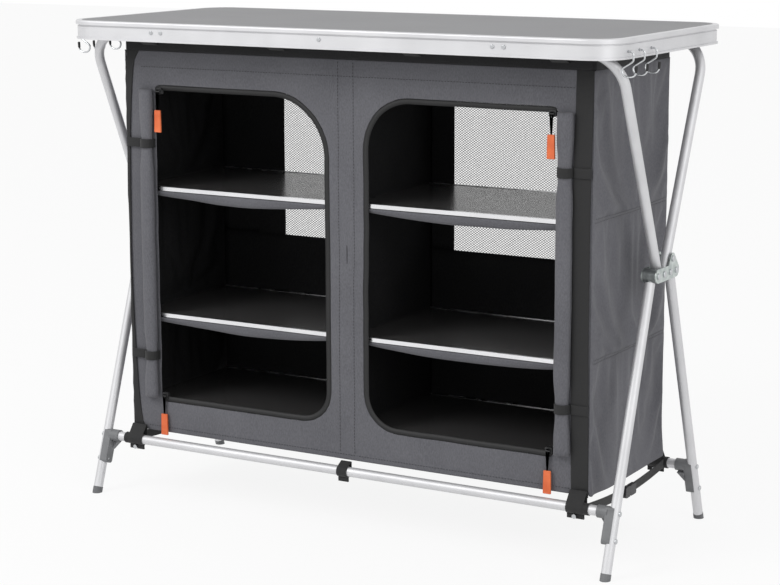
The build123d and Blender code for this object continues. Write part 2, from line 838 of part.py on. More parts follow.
levels = {"floor_boards": floor_board_top, "middle_shelves": middle_board_top, "top_shelves": top_board_top}
trims = []
slings = []
for name, top in levels.items():
    save(name, shelf_board(top), left_of(shelf_board(top)))
    trims += [edge_trim(top, -1), edge_trim(top, 1)]
    slings.append(sling(top))
save("shelf_edge_trims", *trims, *[left_of(trim) for trim in trims])
save("shelf_slings", *slings, *[left_of(piece) for piece in slings])


# Zip sliders with their pulls
def zip_slider(up):
    """A slider that grips the free edge of the tape. up is 1 on a bottom edge, -1 on a top one."""
    edge = (opening_bottom if up > 0 else opening_top) + up * zip_width
    near = edge - up * slider_grip
    far = near + up * slider_height
    front = panel_front - slider_clearance - slider_wall
    rear = panel_front + cloth + slider_clearance + slider_wall
    body = box(slider_x - slider_length / 2, slider_x + slider_length / 2, front, rear, near, far)
    body = fillet(body.edges().filter_by(Axis.Y), 2.0)
    body -= box(slider_x - slider_length, slider_x + slider_length, panel_front - slider_clearance,
                panel_front + cloth + slider_clearance, near - up * 1, edge + up * slider_clearance)
    bail_z = (near + far) / 2
    bail_y = front - bail_stand_off
    body += rod_x(slider_x - bail_width / 2, slider_x + bail_width / 2, bail_y, bail_z, bail_radius)
    for sign in (-1, 1):
        inner_x = slider_x + sign * (bail_width / 2)
        body += box(inner_x, inner_x + sign * bail_post, bail_y - bail_radius, front + slider_wall / 2,
                    bail_z - bail_radius, bail_z + bail_radius)
    return body, bail_y, bail_z


def zip_pull(bail_y, bail_z):
    """A cord, looped on the bail of the slider, and a moulded tab at its end."""
    cord_bottom = bail_z - pull_cord_length
    cord_top = bail_z - pull_ring_radius + 0.4
    cord = Pos(slider_x, bail_y, (cord_top + cord_bottom) / 2)
    cord *= Cylinder(pull_cord_radius, cord_top - cord_bottom)
    half = pull_ring_width / 2
    ring = rod_x(slider_x - half, slider_x + half, bail_y, bail_z, pull_ring_radius)
    ring -= rod_x(slider_x - half, slider_x + half, bail_y, bail_z, bail_radius + pull_ring_clearance)
    cord += ring
    tab_z = cord_bottom - pull_tab_length / 2
    tab = Pos(slider_x, bail_y, tab_z) * Box(pull_tab_width, pull_tab_thickness, pull_tab_length)
    tab = fillet(tab.edges().filter_by(Axis.Y), 5.0)
    tab = fillet(tab.edges().group_by(Axis.Y)[0], 1.0)
    return cord, tab


for up, place in ((-1, "top"), (1, "bottom")):
    slider, bail_y, bail_z = zip_slider(up)
    cord, tab = zip_pull(bail_y, bail_z)
    save(f"zip_slider_{place}_right", slider)
    save(f"zip_slider_{place}_left", left_of(slider))
    save(f"zip_pull_{place}_right", cord, tab)
    save(f"zip_pull_{place}_left", left_of(cord), left_of(tab))
    print(f"{place} pull pivot y {bail_y:.2f} z {bail_z:.2f}")


# Hooks in the end faces of the worktop
def hook(y):
    wall_x = half_length - face_setback - band_wall / 2
    hole_z = worktop_height - hook_hole_drop
    low = hole_z - hook_reach - 3
    points = [
        (wall_x - 6.5, y, hole_z - 5),
        (wall_x - 6.5, y, hole_z),
        (wall_x + 10, y, hole_z),
        (wall_x + 10, y, hole_z - 14),
        (wall_x - 8, y, hole_z - 25),
        (wall_x - 8, y, low),
        (wall_x + 14, y, low),
        (wall_x + 15, y, low + 15),
    ]
    radii = [3.0, 5.0, 5.0, 5.0, 9.0, 9.0]
    path = FilletPolyline(*points, radius=radii)
    wire = sweep(Plane(origin=path @ 0, z_dir=path % 0) * Circle(hook_wire_radius), path=path)
    end = path @ 1
    heading = (path % 1).normalized()
    tip_start = end - heading * (hook_tip_length - 2)
    plane = Plane(origin=tip_start, z_dir=heading)
    tip = extrude(plane * Circle(hook_wire_radius + hook_tip_wall), hook_tip_length)
    tip = fillet(tip.faces().sort_by(Axis.Z)[-1].edges(), 1.2)
    return wire, tip - wire


for number, y in enumerate(hook_positions, start=1):
    wire, tip = hook(y)
    save(f"hook_right_{number}", wire, tip)
    save(f"hook_left_{number}", left_of(wire), left_of(tip))

print(f"bar z {bar_z:.2f}, lean of upper frame {upper_angle:.2f}, lean of leg {leg_angle:.2f}")
print(f"rail y {rail_y:.2f}, board bottom {board_bottom:.2f}")
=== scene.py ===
# %% [markdown]
# # A folding camping cupboard
# The rigid parts of this cupboard, its tubes, plates, boards and hooks, come in as a finished CAD model.
# This lesson gives them their finishes and builds the soft parts: hung cloth, nets, webbing and zips.
# Everything is in metres, +Z is up, +X is the cupboard's right side and -Y is its open front.

# %% Load the frame
import math
import bmesh
import bpy
from mathutils import Matrix, Vector, noise


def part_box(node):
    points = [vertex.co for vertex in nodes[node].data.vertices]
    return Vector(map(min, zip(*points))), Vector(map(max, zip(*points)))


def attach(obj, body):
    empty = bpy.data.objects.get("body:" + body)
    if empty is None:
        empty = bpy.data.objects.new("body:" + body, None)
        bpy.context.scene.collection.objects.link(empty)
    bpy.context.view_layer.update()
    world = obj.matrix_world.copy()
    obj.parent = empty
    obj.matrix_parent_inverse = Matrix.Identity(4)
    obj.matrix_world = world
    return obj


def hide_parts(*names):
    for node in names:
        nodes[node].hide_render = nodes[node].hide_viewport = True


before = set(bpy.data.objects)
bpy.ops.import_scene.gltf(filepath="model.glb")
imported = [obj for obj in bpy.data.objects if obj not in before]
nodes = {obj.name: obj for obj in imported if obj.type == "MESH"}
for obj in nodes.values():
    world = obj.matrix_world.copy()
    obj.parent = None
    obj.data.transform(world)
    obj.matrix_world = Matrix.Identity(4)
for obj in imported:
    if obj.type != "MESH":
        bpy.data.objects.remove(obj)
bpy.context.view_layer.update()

# %% [markdown]
# ## The camera
# A photograph fixes where its camera stood. Azimuth and elevation say from which side and how high it looks,
# and the roll is a small tilt of the picture. The lens is given for a sensor 36 mm wide.

# %% Camera
camera_azimuth = math.radians(30.15)
camera_elevation = math.radians(10.873)
camera_roll = math.radians(-0.14)
camera_focal_pixels = 2118.9
camera_place = Vector((1.74894, -3.01411, 1.03794))
picture_width = 780.0
sensor_width = 36.0

back = Vector((math.sin(camera_azimuth) * math.cos(camera_elevation),
               -math.cos(camera_azimuth) * math.cos(camera_elevation),
               math.sin(camera_elevation)))
side = Vector((0, 0, 1)).cross(back).normalized()
upright = back.cross(side)
turned_side = math.cos(camera_roll) * side + math.sin(camera_roll) * upright
turned_up = -math.sin(camera_roll) * side + math.cos(camera_roll) * upright
camera_turn = Matrix((turned_side, turned_up, back)).transposed().to_4x4()
camera_data = bpy.data.cameras.new("camera")
camera_data.sensor_width = sensor_width
camera_data.lens = camera_focal_pixels / picture_width * sensor_width
camera = bpy.data.objects.new("camera", camera_data)
bpy.context.scene.collection.objects.link(camera)
camera.matrix_world = Matrix.Translation(camera_place) @ camera_turn
bpy.context.scene.camera = camera
print("lens", round(camera_data.lens, 1), "mm")

# %% [markdown]
# ## Helpers for finishes
# Every finish starts from the Principled shader. A finish that is the same all over is set on its sockets,
# and grain, weave or wear is added with nodes that read the Object coordinates, so it needs no UV map.

# %% Material helpers
def linear(level):
    """A screen level from 0 to 255 as the light value that Blender works with."""
    share = level / 255.0
    return share / 12.92 if share <= 0.04045 else ((share + 0.055) / 1.055) ** 2.4


def colour(red, green, blue):
    return (linear(red), linear(green), linear(blue), 1.0)


def finish(name, base, roughness, metallic=0.0):
    material = bpy.data.materials.new(name)
    material.use_nodes = True
    shader = material.node_tree.nodes["Principled BSDF"]
    shader.inputs["Base Color"].default_value = base
    shader.inputs["Roughness"].default_value = roughness
    shader.inputs["Metallic"].default_value = metallic
    return material


def add(material, kind, **values):
    node = material.node_tree.nodes.new(kind)
    for name, value in values.items():
        if name in node.inputs:
            node.inputs[name].default_value = value
        else:
            setattr(node, name, value)
    return node


def join(material, start, end):
    material.node_tree.links.new(start, end)


def place_source(material, stretch=(1, 1, 1)):
    """Object coordinates, stretched so that a pattern can run along one axis."""
    source = add(material, "ShaderNodeTexCoord")
    mapping = add(material, "ShaderNodeMapping", Scale=stretch)
    join(material, source.outputs["Object"], mapping.inputs["Vector"])
    return mapping.outputs["Vector"]


def grain(material, scale, detail=3.0, stretch=(1, 1, 1)):
    texture = add(material, "ShaderNodeTexNoise", Scale=scale, Detail=detail)
    join(material, place_source(material, stretch), texture.inputs["Vector"])
    return texture.outputs["Fac"]


def tint(material, factor, dark, light, low=0.3, high=0.7):
    """Colours the surface between two shades by a factor."""
    ramp = add(material, "ShaderNodeValToRGB")
    ramp.color_ramp.elements[0].position = low
    ramp.color_ramp.elements[0].color = dark
    ramp.color_ramp.elements[1].position = high
    ramp.color_ramp.elements[1].color = light
    join(material, factor, ramp.inputs["Fac"])
    join(material, ramp.outputs["Color"], material.node_tree.nodes["Principled BSDF"].inputs["Base Color"])
    return ramp


def spread(material, factor, low, high, socket="Roughness"):
    """Spreads one of the shader's values between low and high by a factor."""
    ranged = add(material, "ShaderNodeMapRange")
    ranged.inputs["To Min"].default_value = low
    ranged.inputs["To Max"].default_value = high
    join(material, factor, ranged.inputs["Value"])
    join(material, ranged.outputs["Result"], material.node_tree.nodes["Principled BSDF"].inputs[socket])


def relief(material, height, strength, distance):
    bump = add(material, "ShaderNodeBump", Strength=strength, Distance=distance)
    join(material, height, bump.inputs["Height"])
    shader = material.node_tree.nodes["Principled BSDF"]
    if shader.inputs["Normal"].links:
        join(material, shader.inputs["Normal"].links[0].from_socket, bump.inputs["Normal"])
    join(material, bump.outputs["Normal"], shader.inputs["Normal"])


def wave(material, scale, direction, stretch=(1, 1, 1)):
    texture = add(material, "ShaderNodeTexWave", Scale=scale, bands_direction=direction)
    join(material, place_source(material, stretch), texture.inputs["Vector"])
    return texture.outputs["Fac"]


def mixed(material, operation, first, second):
    maths = add(material, "ShaderNodeMath", operation=operation)
    join(material, first, maths.inputs[0])
    if isinstance(second, float):
        maths.inputs[1].default_value = second
    else:
        join(material, second, maths.inputs[1])
    return maths.outputs["Value"]


# %% [markdown]
# ## Metal finishes
# Satin anodised aluminium is bright but not mirror like: drawn tube has faint lines along its length and
# tiny scuffs. Zinc plate is greyer and a little cloudy, and rivet heads are polished by the press.

# %% Metals
def satin_aluminium(name, level, roughness, stretch, metallic):
    metal = finish(name, colour(level, level, level + 2), roughness, metallic)
    lines = grain(metal, 260.0, 4.0, stretch)
    spread(metal, lines, roughness - 0.07, roughness + 0.09)
    clouds = grain(metal, 14.0, 2.0)
    tint(metal, clouds, colour(level - 6, level - 6, level - 4), colour(level + 4, level + 4, level + 6))
    relief(metal, lines, 0.06, 0.0004)
    return metal


tube_metal = satin_aluminium("tube_aluminium", 212, 0.5, (1, 1, 0.1), 0.55)
rail_metal = satin_aluminium("rail_aluminium", 212, 0.5, (0.1, 1, 1), 0.55)
band_metal = satin_aluminium("band_aluminium", 212, 0.48, (0.08, 0.08, 1), 0.6)
trim_metal = satin_aluminium("trim_aluminium", 232, 0.26, (0.08, 1, 1), 1.0)

zinc = finish("zinc_plate", colour(190, 197, 194), 0.36, 1.0)
zinc_clouds = grain(zinc, 120.0, 5.0)
tint(zinc, zinc_clouds, colour(170, 178, 176), colour(206, 212, 209))
spread(zinc, grain(zinc, 60.0), 0.28, 0.48)
relief(zinc, zinc_clouds, 0.1, 0.0004)

rivet_metal = finish("rivet_steel", colour(190, 192, 194), 0.3, 1.0)
spread(rivet_metal, grain(rivet_metal, 500.0), 0.22, 0.42)
relief(rivet_metal, grain(rivet_metal, 700.0), 0.1, 0.0002)

knuckle_metal = finish("knuckle_dark", colour(126, 130, 130), 0.42, 0.9)
tint(knuckle_metal, grain(knuckle_metal, 90.0), colour(104, 108, 109), colour(146, 150, 150))
relief(knuckle_metal, grain(knuckle_metal, 900.0), 0.15, 0.0003)

# %% [markdown]
# The hooks are one bent wire with a black dip on the tip that shows. The mesh is one piece, so the finish
# finds the dip by its place: outside the band's face and above the lowest bend.

# %% Hook wire with its dipped tip
hook_metal = finish("hook_wire", colour(200, 202, 204), 0.22, 1.0)
hook_place = add(hook_metal, "ShaderNodeTexCoord")
hook_axes = add(hook_metal, "ShaderNodeSeparateXYZ")
join(hook_metal, hook_place.outputs["Object"], hook_axes.inputs["Vector"])
hook_low, hook_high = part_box("hook_right_1")
dip_reach = 0.0047
dip_bottom = 0.0075
dip_top = 0.021
outward = mixed(hook_metal, "ABSOLUTE", hook_axes.outputs["X"], 0.0)
outside = mixed(hook_metal, "GREATER_THAN", outward, hook_high.x - dip_reach)
above = mixed(hook_metal, "GREATER_THAN", hook_axes.outputs["Z"], hook_low.z + dip_bottom)
below = mixed(hook_metal, "LESS_THAN", hook_axes.outputs["Z"], hook_low.z + dip_top)
dipped = mixed(hook_metal, "MULTIPLY", mixed(hook_metal, "MULTIPLY", outside, above), below)
tint(hook_metal, dipped, colour(200, 202, 204), colour(20, 20, 21), 0.4, 0.6)
spread(hook_metal, dipped, 0.24, 0.5)
spread(hook_metal, dipped, 1.0, 0.0, "Metallic")
relief(hook_metal, grain(hook_metal, 800.0), 0.05, 0.0002)

# %% [markdown]
# ## Board and plastic finishes
# The worktop is a grey laminate with a fine, even speckle. The shelf boards are nearly black with a soft
# shine. Moulded plastic has a fine leathery texture that breaks up its highlights.

# %% Boards and plastics
worktop_grey = finish("worktop_laminate", colour(136, 136, 138), 0.62)
speckle = grain(worktop_grey, 1400.0, 2.0)
tint(worktop_grey, speckle, colour(128, 128, 130), colour(142, 142, 144))
spread(worktop_grey, grain(worktop_grey, 9.0), 0.58, 0.68)
relief(worktop_grey, speckle, 0.12, 0.0003)

shelf_black = finish("shelf_laminate", colour(66, 65, 65), 0.24)
tint(shelf_black, grain(shelf_black, 600.0), colour(63, 62, 62), colour(69, 68, 68))
spread(shelf_black, grain(shelf_black, 9.0), 0.22, 0.26)
relief(shelf_black, grain(shelf_black, 900.0), 0.008, 0.0001)


def moulded(name, dark, light, roughness):
    plastic = finish(name, light, roughness)
    texture = grain(plastic, 1200.0, 3.0)
    tint(plastic, grain(plastic, 45.0), dark, light)
    spread(plastic, texture, roughness - 0.08, roughness + 0.1)
    relief(plastic, texture, 0.2, 0.0003)
    return plastic


bracket_plastic = moulded("bracket_plastic", colour(108, 109, 111), colour(124, 125, 127), 0.48)
foot_plastic = moulded("foot_plastic", colour(98, 99, 101), colour(118, 119, 121), 0.6)
buckle_plastic = moulded("buckle_plastic", colour(34, 34, 36), colour(50, 50, 52), 0.42)
pull_plastic = moulded("pull_orange", colour(214, 98, 50), colour(232, 118, 68), 0.5)
slider_enamel = moulded("slider_black", colour(24, 24, 25), colour(46, 46, 47), 0.35)

# %% [markdown]
# ## Cloth finishes
# The cupboard is cut from heathered polyester: a plain weave of grey yarn in which lighter and darker
# threads show as short dashes. Webbing has ribs across its width, and the black tape is a tight weave.

# %% Cloths
def woven(name, dark, light, yarn, strength, sheen=0.12, shine=0.3):
    cloth = finish(name, light, 0.82)
    shader = cloth.node_tree.nodes["Principled BSDF"]
    shader.inputs["Sheen Weight"].default_value = sheen
    shader.inputs["Sheen Roughness"].default_value = 0.5
    shader.inputs["Specular IOR Level"].default_value = shine
    across = wave(cloth, yarn, "X")
    deep = wave(cloth, yarn, "Y")
    up = wave(cloth, yarn, "Z")
    threads = mixed(cloth, "MULTIPLY", mixed(cloth, "ADD", across, deep), up)
    dashes = grain(cloth, 620.0, 2.0, (1, 1, 0.4))
    clouds = grain(cloth, 7.0, 3.0)
    dash_share = mixed(cloth, "MULTIPLY", dashes, 0.6)
    cloud_share = mixed(cloth, "MULTIPLY", clouds, 0.4)
    heather = mixed(cloth, "ADD", dash_share, cloud_share)
    tint(cloth, heather, dark, light, 0.36, 0.64)
    relief(cloth, threads, strength, 0.0003)
    relief(cloth, grain(cloth, 55.0, 4.0), 0.25, 0.0012)
    return cloth


def ribbed(name, dark, light, direction, ribs):
    webbing = finish(name, light, 0.75)
    webbing.node_tree.nodes["Principled BSDF"].inputs["Sheen Weight"].default_value = 0.1
    rows = wave(webbing, ribs, direction)
    tint(webbing, mixed(webbing, "MULTIPLY", rows, grain(webbing, 300.0)), dark, light, 0.1, 0.6)
    relief(webbing, rows, 0.4, 0.0004)
    return webbing


cabinet_cloth = woven("cabinet_cloth", colour(88, 88, 93), colour(104, 104, 109), 260.0, 0.25)
# A darker copy of the cloth without sheen, for the inside faces and the divider: painted shade for the dark
# inside of the cupboard.
inside_shade_cloth = woven("inside_shade_cloth", colour(30, 30, 31), colour(40, 40, 41), 260.0, 0.2, 0.0, 0.08)
black_tape = woven("black_tape", colour(24, 24, 25), colour(36, 36, 38), 300.0, 0.3)
upright_webbing = ribbed("upright_webbing", colour(15, 15, 16), colour(27, 27, 28), "Z", 180.0)
level_webbing = ribbed("level_webbing", colour(15, 15, 16), colour(27, 27, 28), "X", 180.0)
deep_webbing = ribbed("deep_webbing", colour(15, 15, 16), colour(27, 27, 28), "Y", 180.0)
net_thread = woven("net_thread", colour(78, 78, 80), colour(100, 100, 102), 400.0, 0.2)
stitch_thread = woven("stitch_thread", colour(36, 36, 38), colour(52, 52, 54), 600.0, 0.2)

# %% [markdown]
# ## Dressing the rigid parts
# A part that came finished from the CAD model only needs the right material in its material slot.

# %% Materials for the CAD nodes
rigid_finishes = {
    "worktop_board": worktop_grey,
    "worktop_edge_band": band_metal,
    "worktop_rivets": rivet_metal,
    "bar_clips": bracket_plastic,
    "upper_front_frame": tube_metal,
    "upper_rear_frame": tube_metal,
    "hub_plates": zinc,
    "hub_pins": rivet_metal,
    "floor_boards": shelf_black,
    "middle_shelves": shelf_black,
    "top_shelves": shelf_black,
    "shelf_edge_trims": trim_metal,
    "strap_buckles": buckle_plastic,
    "strap_tongues": buckle_plastic,
}
for end in ("front", "rear"):
    for hand in ("right", "left"):
        rigid_finishes[f"lower_{end}_leg_{hand}"] = tube_metal
    rigid_finishes[f"{end}_knuckles"] = knuckle_metal
    rigid_finishes[f"{end}_feet"] = foot_plastic
    rigid_finishes[f"{end}_rail_brackets"] = bracket_plastic
    rigid_finishes[f"{end}_rivets"] = rivet_metal
    rigid_finishes[f"{end}_rail"] = rail_metal
for name in nodes:
    if name.startswith("hook_"):
        rigid_finishes[name] = hook_metal
    if name.startswith("zip_slider_"):
        rigid_finishes[name] = slider_enamel
for name, material in rigid_finishes.items():
    slots = nodes[name].data.materials
    slots.clear()
    slots.append(material)
print(len(rigid_finishes), "CAD nodes have their finish")

# %% [markdown]
# ## Helpers for new pieces
# A new piece starts in a bmesh and ends as an object at the origin, with its place in its mesh. It rides
# on a body of the CAD model, so that it moves when a joint moves.

# %% Piece helpers
sides = (("right", 1), ("left", -1))
ends = (("front", -1), ("rear", 1))


def make_piece(name, mesh_work, material, body, smooth=True):
    mesh = bpy.data.meshes.new(name)
    bmesh.ops.recalc_face_normals(mesh_work, faces=mesh_work.faces)
    mesh_work.to_mesh(mesh)
    mesh_work.free()
    piece = bpy.data.objects.new(name, mesh)
    bpy.context.scene.collection.objects.link(piece)
    mesh.materials.append(material)
    if smooth:
        mesh.shade_smooth()
    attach(piece, body)
    return piece


def thicken(piece, thickness, offset=0.0):
    solidify = piece.modifiers.new("thickness", "SOLIDIFY")
    solidify.thickness = thickness
    solidify.offset = offset
    return piece


def shade_inside_face(piece, inwards, thickness=0.0011):
    """Thickens a sheet so that its face towards the inside of the cupboard is the dark cloth that paints the
    shade inside the cupboard.
    """
    mean = Vector((0, 0, 0))
    for polygon in piece.data.polygons:
        mean += polygon.normal
    if mean.dot(inwards) > 0:
        piece.data.flip_normals()
    piece.data.materials.append(inside_shade_cloth)
    thicken(piece, thickness)
    piece.modifiers["thickness"].material_offset = 1


def soften(piece, levels=1):
    smoother = piece.modifiers.new("soften", "SUBSURF")
    smoother.levels = levels
    smoother.render_levels = levels
    return piece


def round_edges(piece, width, segments=2):
    bevel = piece.modifiers.new("round", "BEVEL")
    bevel.width = width
    bevel.segments = segments
    bevel.limit_method = "ANGLE"
    return piece


def grid(low, high, cell, fixed):
    """A flat grid of square cells. fixed is the axis that the grid doesn't run along."""
    work = bmesh.new()
    axes = [axis for axis in (0, 1, 2) if axis != fixed]
    spans = [high[axis] - low[axis] for axis in axes]
    counts = [max(2, round(span / cell)) for span in spans]
    bmesh.ops.create_grid(work, x_segments=counts[0], y_segments=counts[1], size=0.5)
    for vertex in work.verts:
        place = [0.0, 0.0, 0.0]
        place[axes[0]] = low[axes[0]] + (vertex.co.x + 0.5) * spans[0]
        place[axes[1]] = low[axes[1]] + (vertex.co.y + 0.5) * spans[1]
        place[fixed] = (low[fixed] + high[fixed]) / 2
        vertex.co = place
    return work


def clamp(value):
    return max(0.0, min(1.0, value))


def ripple(point, size, seed):
    """Smooth unevenness between -1 and 1 that changes over about size metres."""
    return noise.noise(Vector((point.x / size + seed, point.y / size, point.z / size - seed)))


# %% [markdown]
# ## The front panel
# The front of the cupboard is one sheet with two large door openings, whose inner corners are round.
# A fine grid is cut by taking out the cells inside each opening, and the ragged edge is then pulled onto
# the rounded outline. Soft ripples, stronger away from the sewn edges, make it hang like cloth.

# %% Sizes of the cloth cupboard
front_low, front_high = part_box("front_panel")
back_low, back_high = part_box("back_panel")
half_width = front_high.x
hem_bottom = front_low.z
panel_top = front_high.z
front_y = front_low.y
rear_y = back_high.y
cloth_thickness = 0.0011
opening_inner = 0.032
opening_outer = 0.373
opening_bottom = 0.168
opening_top = 0.711
top_radius = {1: 0.084, -1: 0.108}
low_radius = {1: 0.062, -1: 0.056}
tight_radius = 0.008
front_cell = 0.0065
side_cell = 0.0062
ragged_edge = 0.008


def outline_distance(x, z, side_sign):
    """How far a point is outside the edge of one door opening, with the way to go to leave it."""
    along = x * side_sign
    middle_x = (opening_inner + opening_outer) / 2
    middle_z = (opening_bottom + opening_top) / 2
    if along < middle_x:
        radius = top_radius[side_sign] if z > middle_z else low_radius[side_sign]
    else:
        radius = tight_radius
    dx = abs(along - middle_x) - ((opening_outer - opening_inner) / 2 - radius)
    dz = abs(z - middle_z) - ((opening_top - opening_bottom) / 2 - radius)
    sign_x = side_sign * (1 if along > middle_x else -1)
    sign_z = 1 if z > middle_z else -1
    if dx > 0 and dz > 0:
        reach = math.hypot(dx, dz)
        return reach - radius, Vector((sign_x * dx / reach, 0, sign_z * dz / reach))
    if dx > dz:
        return dx - radius, Vector((sign_x, 0, 0))
    return dz - radius, Vector((0, 0, sign_z))


# %% Front panel
def cut_openings(work):
    """Takes the cells of both door openings out and rounds the edges that are left."""
    for side_sign in (-1, 1):
        gone = []
        for face in work.faces:
            centre = face.calc_center_median()
            if centre.x * side_sign > 0 and outline_distance(centre.x, centre.z, side_sign)[0] < 0:
                gone.append(face)
        bmesh.ops.delete(work, geom=gone, context="FACES")
        for vertex in work.verts:
            distance, away = outline_distance(vertex.co.x, vertex.co.z, side_sign)
            if vertex.is_boundary and vertex.co.x * side_sign > 0 and abs(distance) < ragged_edge:
                vertex.co -= away * distance
    return work


def edge_hold(point):
    """0 at the sewn outer edges of a panel and 1 well inside it."""
    to_side = half_width - abs(point.x)
    to_end = min(point.z - hem_bottom + 0.01, panel_top - point.z)
    return clamp(to_side / 0.06) * clamp(to_end / 0.05)


def front_ripple(point):
    hold = edge_hold(point)
    broad = ripple(Vector((point.x, 0, point.z * 0.5)), 0.09, 3.1)
    fine = ripple(Vector((point.x, 0, point.z * 0.7)), 0.035, 7.7)
    pucker = 0.0
    for side_sign in (-1, 1):
        distance = outline_distance(point.x, point.z, side_sign)[0]
        near = max(0.0, 1.0 - abs(distance) / 0.05)
        pucker += near * ripple(Vector((point.x, 0, point.z)), 0.045, 1.3)
    return hold * (0.0028 * broad + 0.0011 * fine) + 0.0012 * pucker


# Softening draws a sheet's edges in by about a millimetre, so the sheets are cut that much too wide.
seam_reach = Vector((0.0008, 0, 0))
front_work = cut_openings(grid(front_low - seam_reach, front_high + seam_reach, front_cell, 1))
for vertex in front_work.verts:
    vertex.co.y = front_y + cloth_thickness / 2 + front_ripple(vertex.co)
front_cloth = make_piece("front_cloth", front_work, cabinet_cloth, "frame")
shade_inside_face(front_cloth, Vector((0, 1, 0)))
soften(front_cloth)
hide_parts("front_panel")

# %% [markdown]
# ## Zip tapes
# A zip runs round each door opening, except along the outer edge where the door is rolled. Its tape is sewn
# to the edge of the panel, so here the panel's own edge is pulled inwards, and follows its ripples.

# %% Zip tapes from the panel's edge
tape_width = 0.0085


def tape_from_edge(side_sign):
    work = bmesh.new()
    work.from_mesh(front_cloth.data)
    kept = []
    for edge in work.edges:
        middle = (edge.verts[0].co + edge.verts[1].co) / 2
        distance = outline_distance(middle.x, middle.z, side_sign)[0]
        inside = middle.x * side_sign < opening_outer - 0.001
        if edge.is_boundary and middle.x * side_sign > 0 and distance < 0.002 and inside:
            kept.append(edge)
    made = bmesh.ops.extrude_edge_only(work, edges=kept)
    pulled = [part for part in made["geom"] if isinstance(part, bmesh.types.BMVert)]
    tape_faces = [part for part in made["geom"] if isinstance(part, bmesh.types.BMFace)]
    for vertex in pulled:
        away = outline_distance(vertex.co.x, vertex.co.z, side_sign)[1]
        vertex.co -= away * tape_width
        vertex.co.y += 0.0006
    others = [face for face in work.faces if face not in set(tape_faces)]
    bmesh.ops.delete(work, geom=others, context="FACES")
    return work


zip_coil = finish("zip_coil", colour(18, 18, 19), 0.6)
coil_turns = grain(zip_coil, 700.0, 1.0)
tint(zip_coil, coil_turns, colour(12, 12, 13), colour(26, 26, 27))
relief(zip_coil, coil_turns, 0.5, 0.0006)
for side_name, side_sign in sides:
    tape = make_piece(f"zip_tape_{side_name}", tape_from_edge(side_sign), zip_coil, "frame")
    thicken(tape, 0.0016)
    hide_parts("zip_tapes")
    print(tape.name, len(tape.data.polygons), "faces")

# %% [markdown]
# ## Side panels
# The ends are cut a little wider than the space that they hang in, so they fall in soft folds between the
# sewn edges and the two seams at the shelves. The sheet starts with broad, shallow folds. Blender's Cloth
# then makes the small ones: the sheet is pinned along its seams, told to grow by a few percent and left to
# settle, and the result is applied.

# %% Settle a hung sheet with the Cloth modifier
side_low, side_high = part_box("side_panel_right")
lower_seam = 0.323
upper_seam = 0.541
fold_limit = 0.012
sewn_edge = 0.004
sewn_seam = 0.0035
cut_growth = 0.022
settle_frames = 26


def settle(piece, pins, growth, frames):
    """Runs the Cloth modifier on a sheet that is pinned at some vertices, and applies it."""
    group = piece.vertex_groups.new(name="pins")
    for index, weight in pins.items():
        group.add([index], weight, "REPLACE")
    cloth = piece.modifiers.new("cloth", "CLOTH")
    cloth.settings.quality = 6
    cloth.settings.mass = 0.2
    cloth.settings.tension_stiffness = 20
    cloth.settings.compression_stiffness = 20
    cloth.settings.shear_stiffness = 8
    cloth.settings.bending_stiffness = 0.6
    cloth.settings.shrink_min = -growth
    cloth.settings.shrink_max = -growth
    cloth.settings.vertex_group_mass = "pins"
    cloth.settings.effector_weights.gravity = 0.35
    cloth.collision_settings.use_self_collision = False
    cloth.point_cache.frame_end = frames
    scene = bpy.context.scene
    for number in range(1, frames + 1):
        scene.frame_set(number)
    shaped = piece.evaluated_get(bpy.context.evaluated_depsgraph_get())
    settled = [vertex.co.copy() for vertex in shaped.data.vertices]
    piece.modifiers.remove(cloth)
    for vertex, place in zip(piece.data.vertices, settled):
        move = place - vertex.co
        vertex.co += move if move.length < fold_limit else move * (fold_limit / move.length)
    piece.vertex_groups.clear()
    scene.frame_set(1)


def side_pin(point):
    """How firmly the sewing holds a point of a side panel."""
    to_edge = min(point.y - front_y, rear_y - point.y, panel_top - point.z)
    if to_edge < sewn_edge:
        return 1.0
    if min(abs(point.z - lower_seam), abs(point.z - upper_seam)) < sewn_seam:
        return 0.9
    return 0.0


def side_panel_work(sign):
    low = Vector((sign * half_width, front_y - 0.0014, hem_bottom))
    high = Vector((sign * half_width, rear_y + 0.0006, panel_top))
    work = grid(low, high, side_cell, 0)
    for vertex in work.verts:
        hold = 1.0 - side_pin(vertex.co)
        vertex.co.x += sign * (0.001 * hold + hung_fold(vertex.co, sign))
    return work


def hung_fold(point, sign):
    """Broad, shallow folds that slant both ways between the seams."""
    if point.z > upper_seam:
        low, high = upper_seam, panel_top
    elif point.z > lower_seam:
        low, high = lower_seam, upper_seam
    else:
        low, high = hem_bottom - 0.06, lower_seam
    to_seam = min(point.z - low, high - point.z) / 0.05
    to_edge = min(point.y - front_y, rear_y - point.y) / 0.03
    hold = clamp(to_seam) * clamp(to_edge)
    slant = ripple(Vector((sign * 0.4, point.y + 0.45 * point.z, point.z * 0.2)), 0.045, 5.0)
    other = ripple(Vector((sign * 0.9, point.y - 0.35 * point.z, point.z * 0.25)), 0.06, 11.0)
    return hold * (0.0075 * slant + 0.006 * other)


side_cloths = {}
for side_name, sign in sides:
    side_cloth = make_piece(f"side_cloth_{side_name}", side_panel_work(sign), cabinet_cloth,
                            "frame")
    pins = {vertex.index: side_pin(vertex.co) for vertex in side_cloth.data.vertices}
    held = {index: weight for index, weight in pins.items() if weight > 0}
    settle(side_cloth, held, cut_growth, settle_frames)
    shade_inside_face(side_cloth, Vector((-sign, 0, 0)))
    soften(side_cloth)
    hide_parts(f"side_panel_{side_name}")
    side_cloths[sign] = side_cloth
    print(side_cloth.name, [round(value, 4) for value in side_cloth.dimensions])

# %% [markdown]
# ## Back panel, divider and nets
# The back has two windows of fine net, seen through the open doors. A diamond net is a grid turned by
# 45 degrees: Blender's Wireframe modifier turns each edge of the grid into a thread.

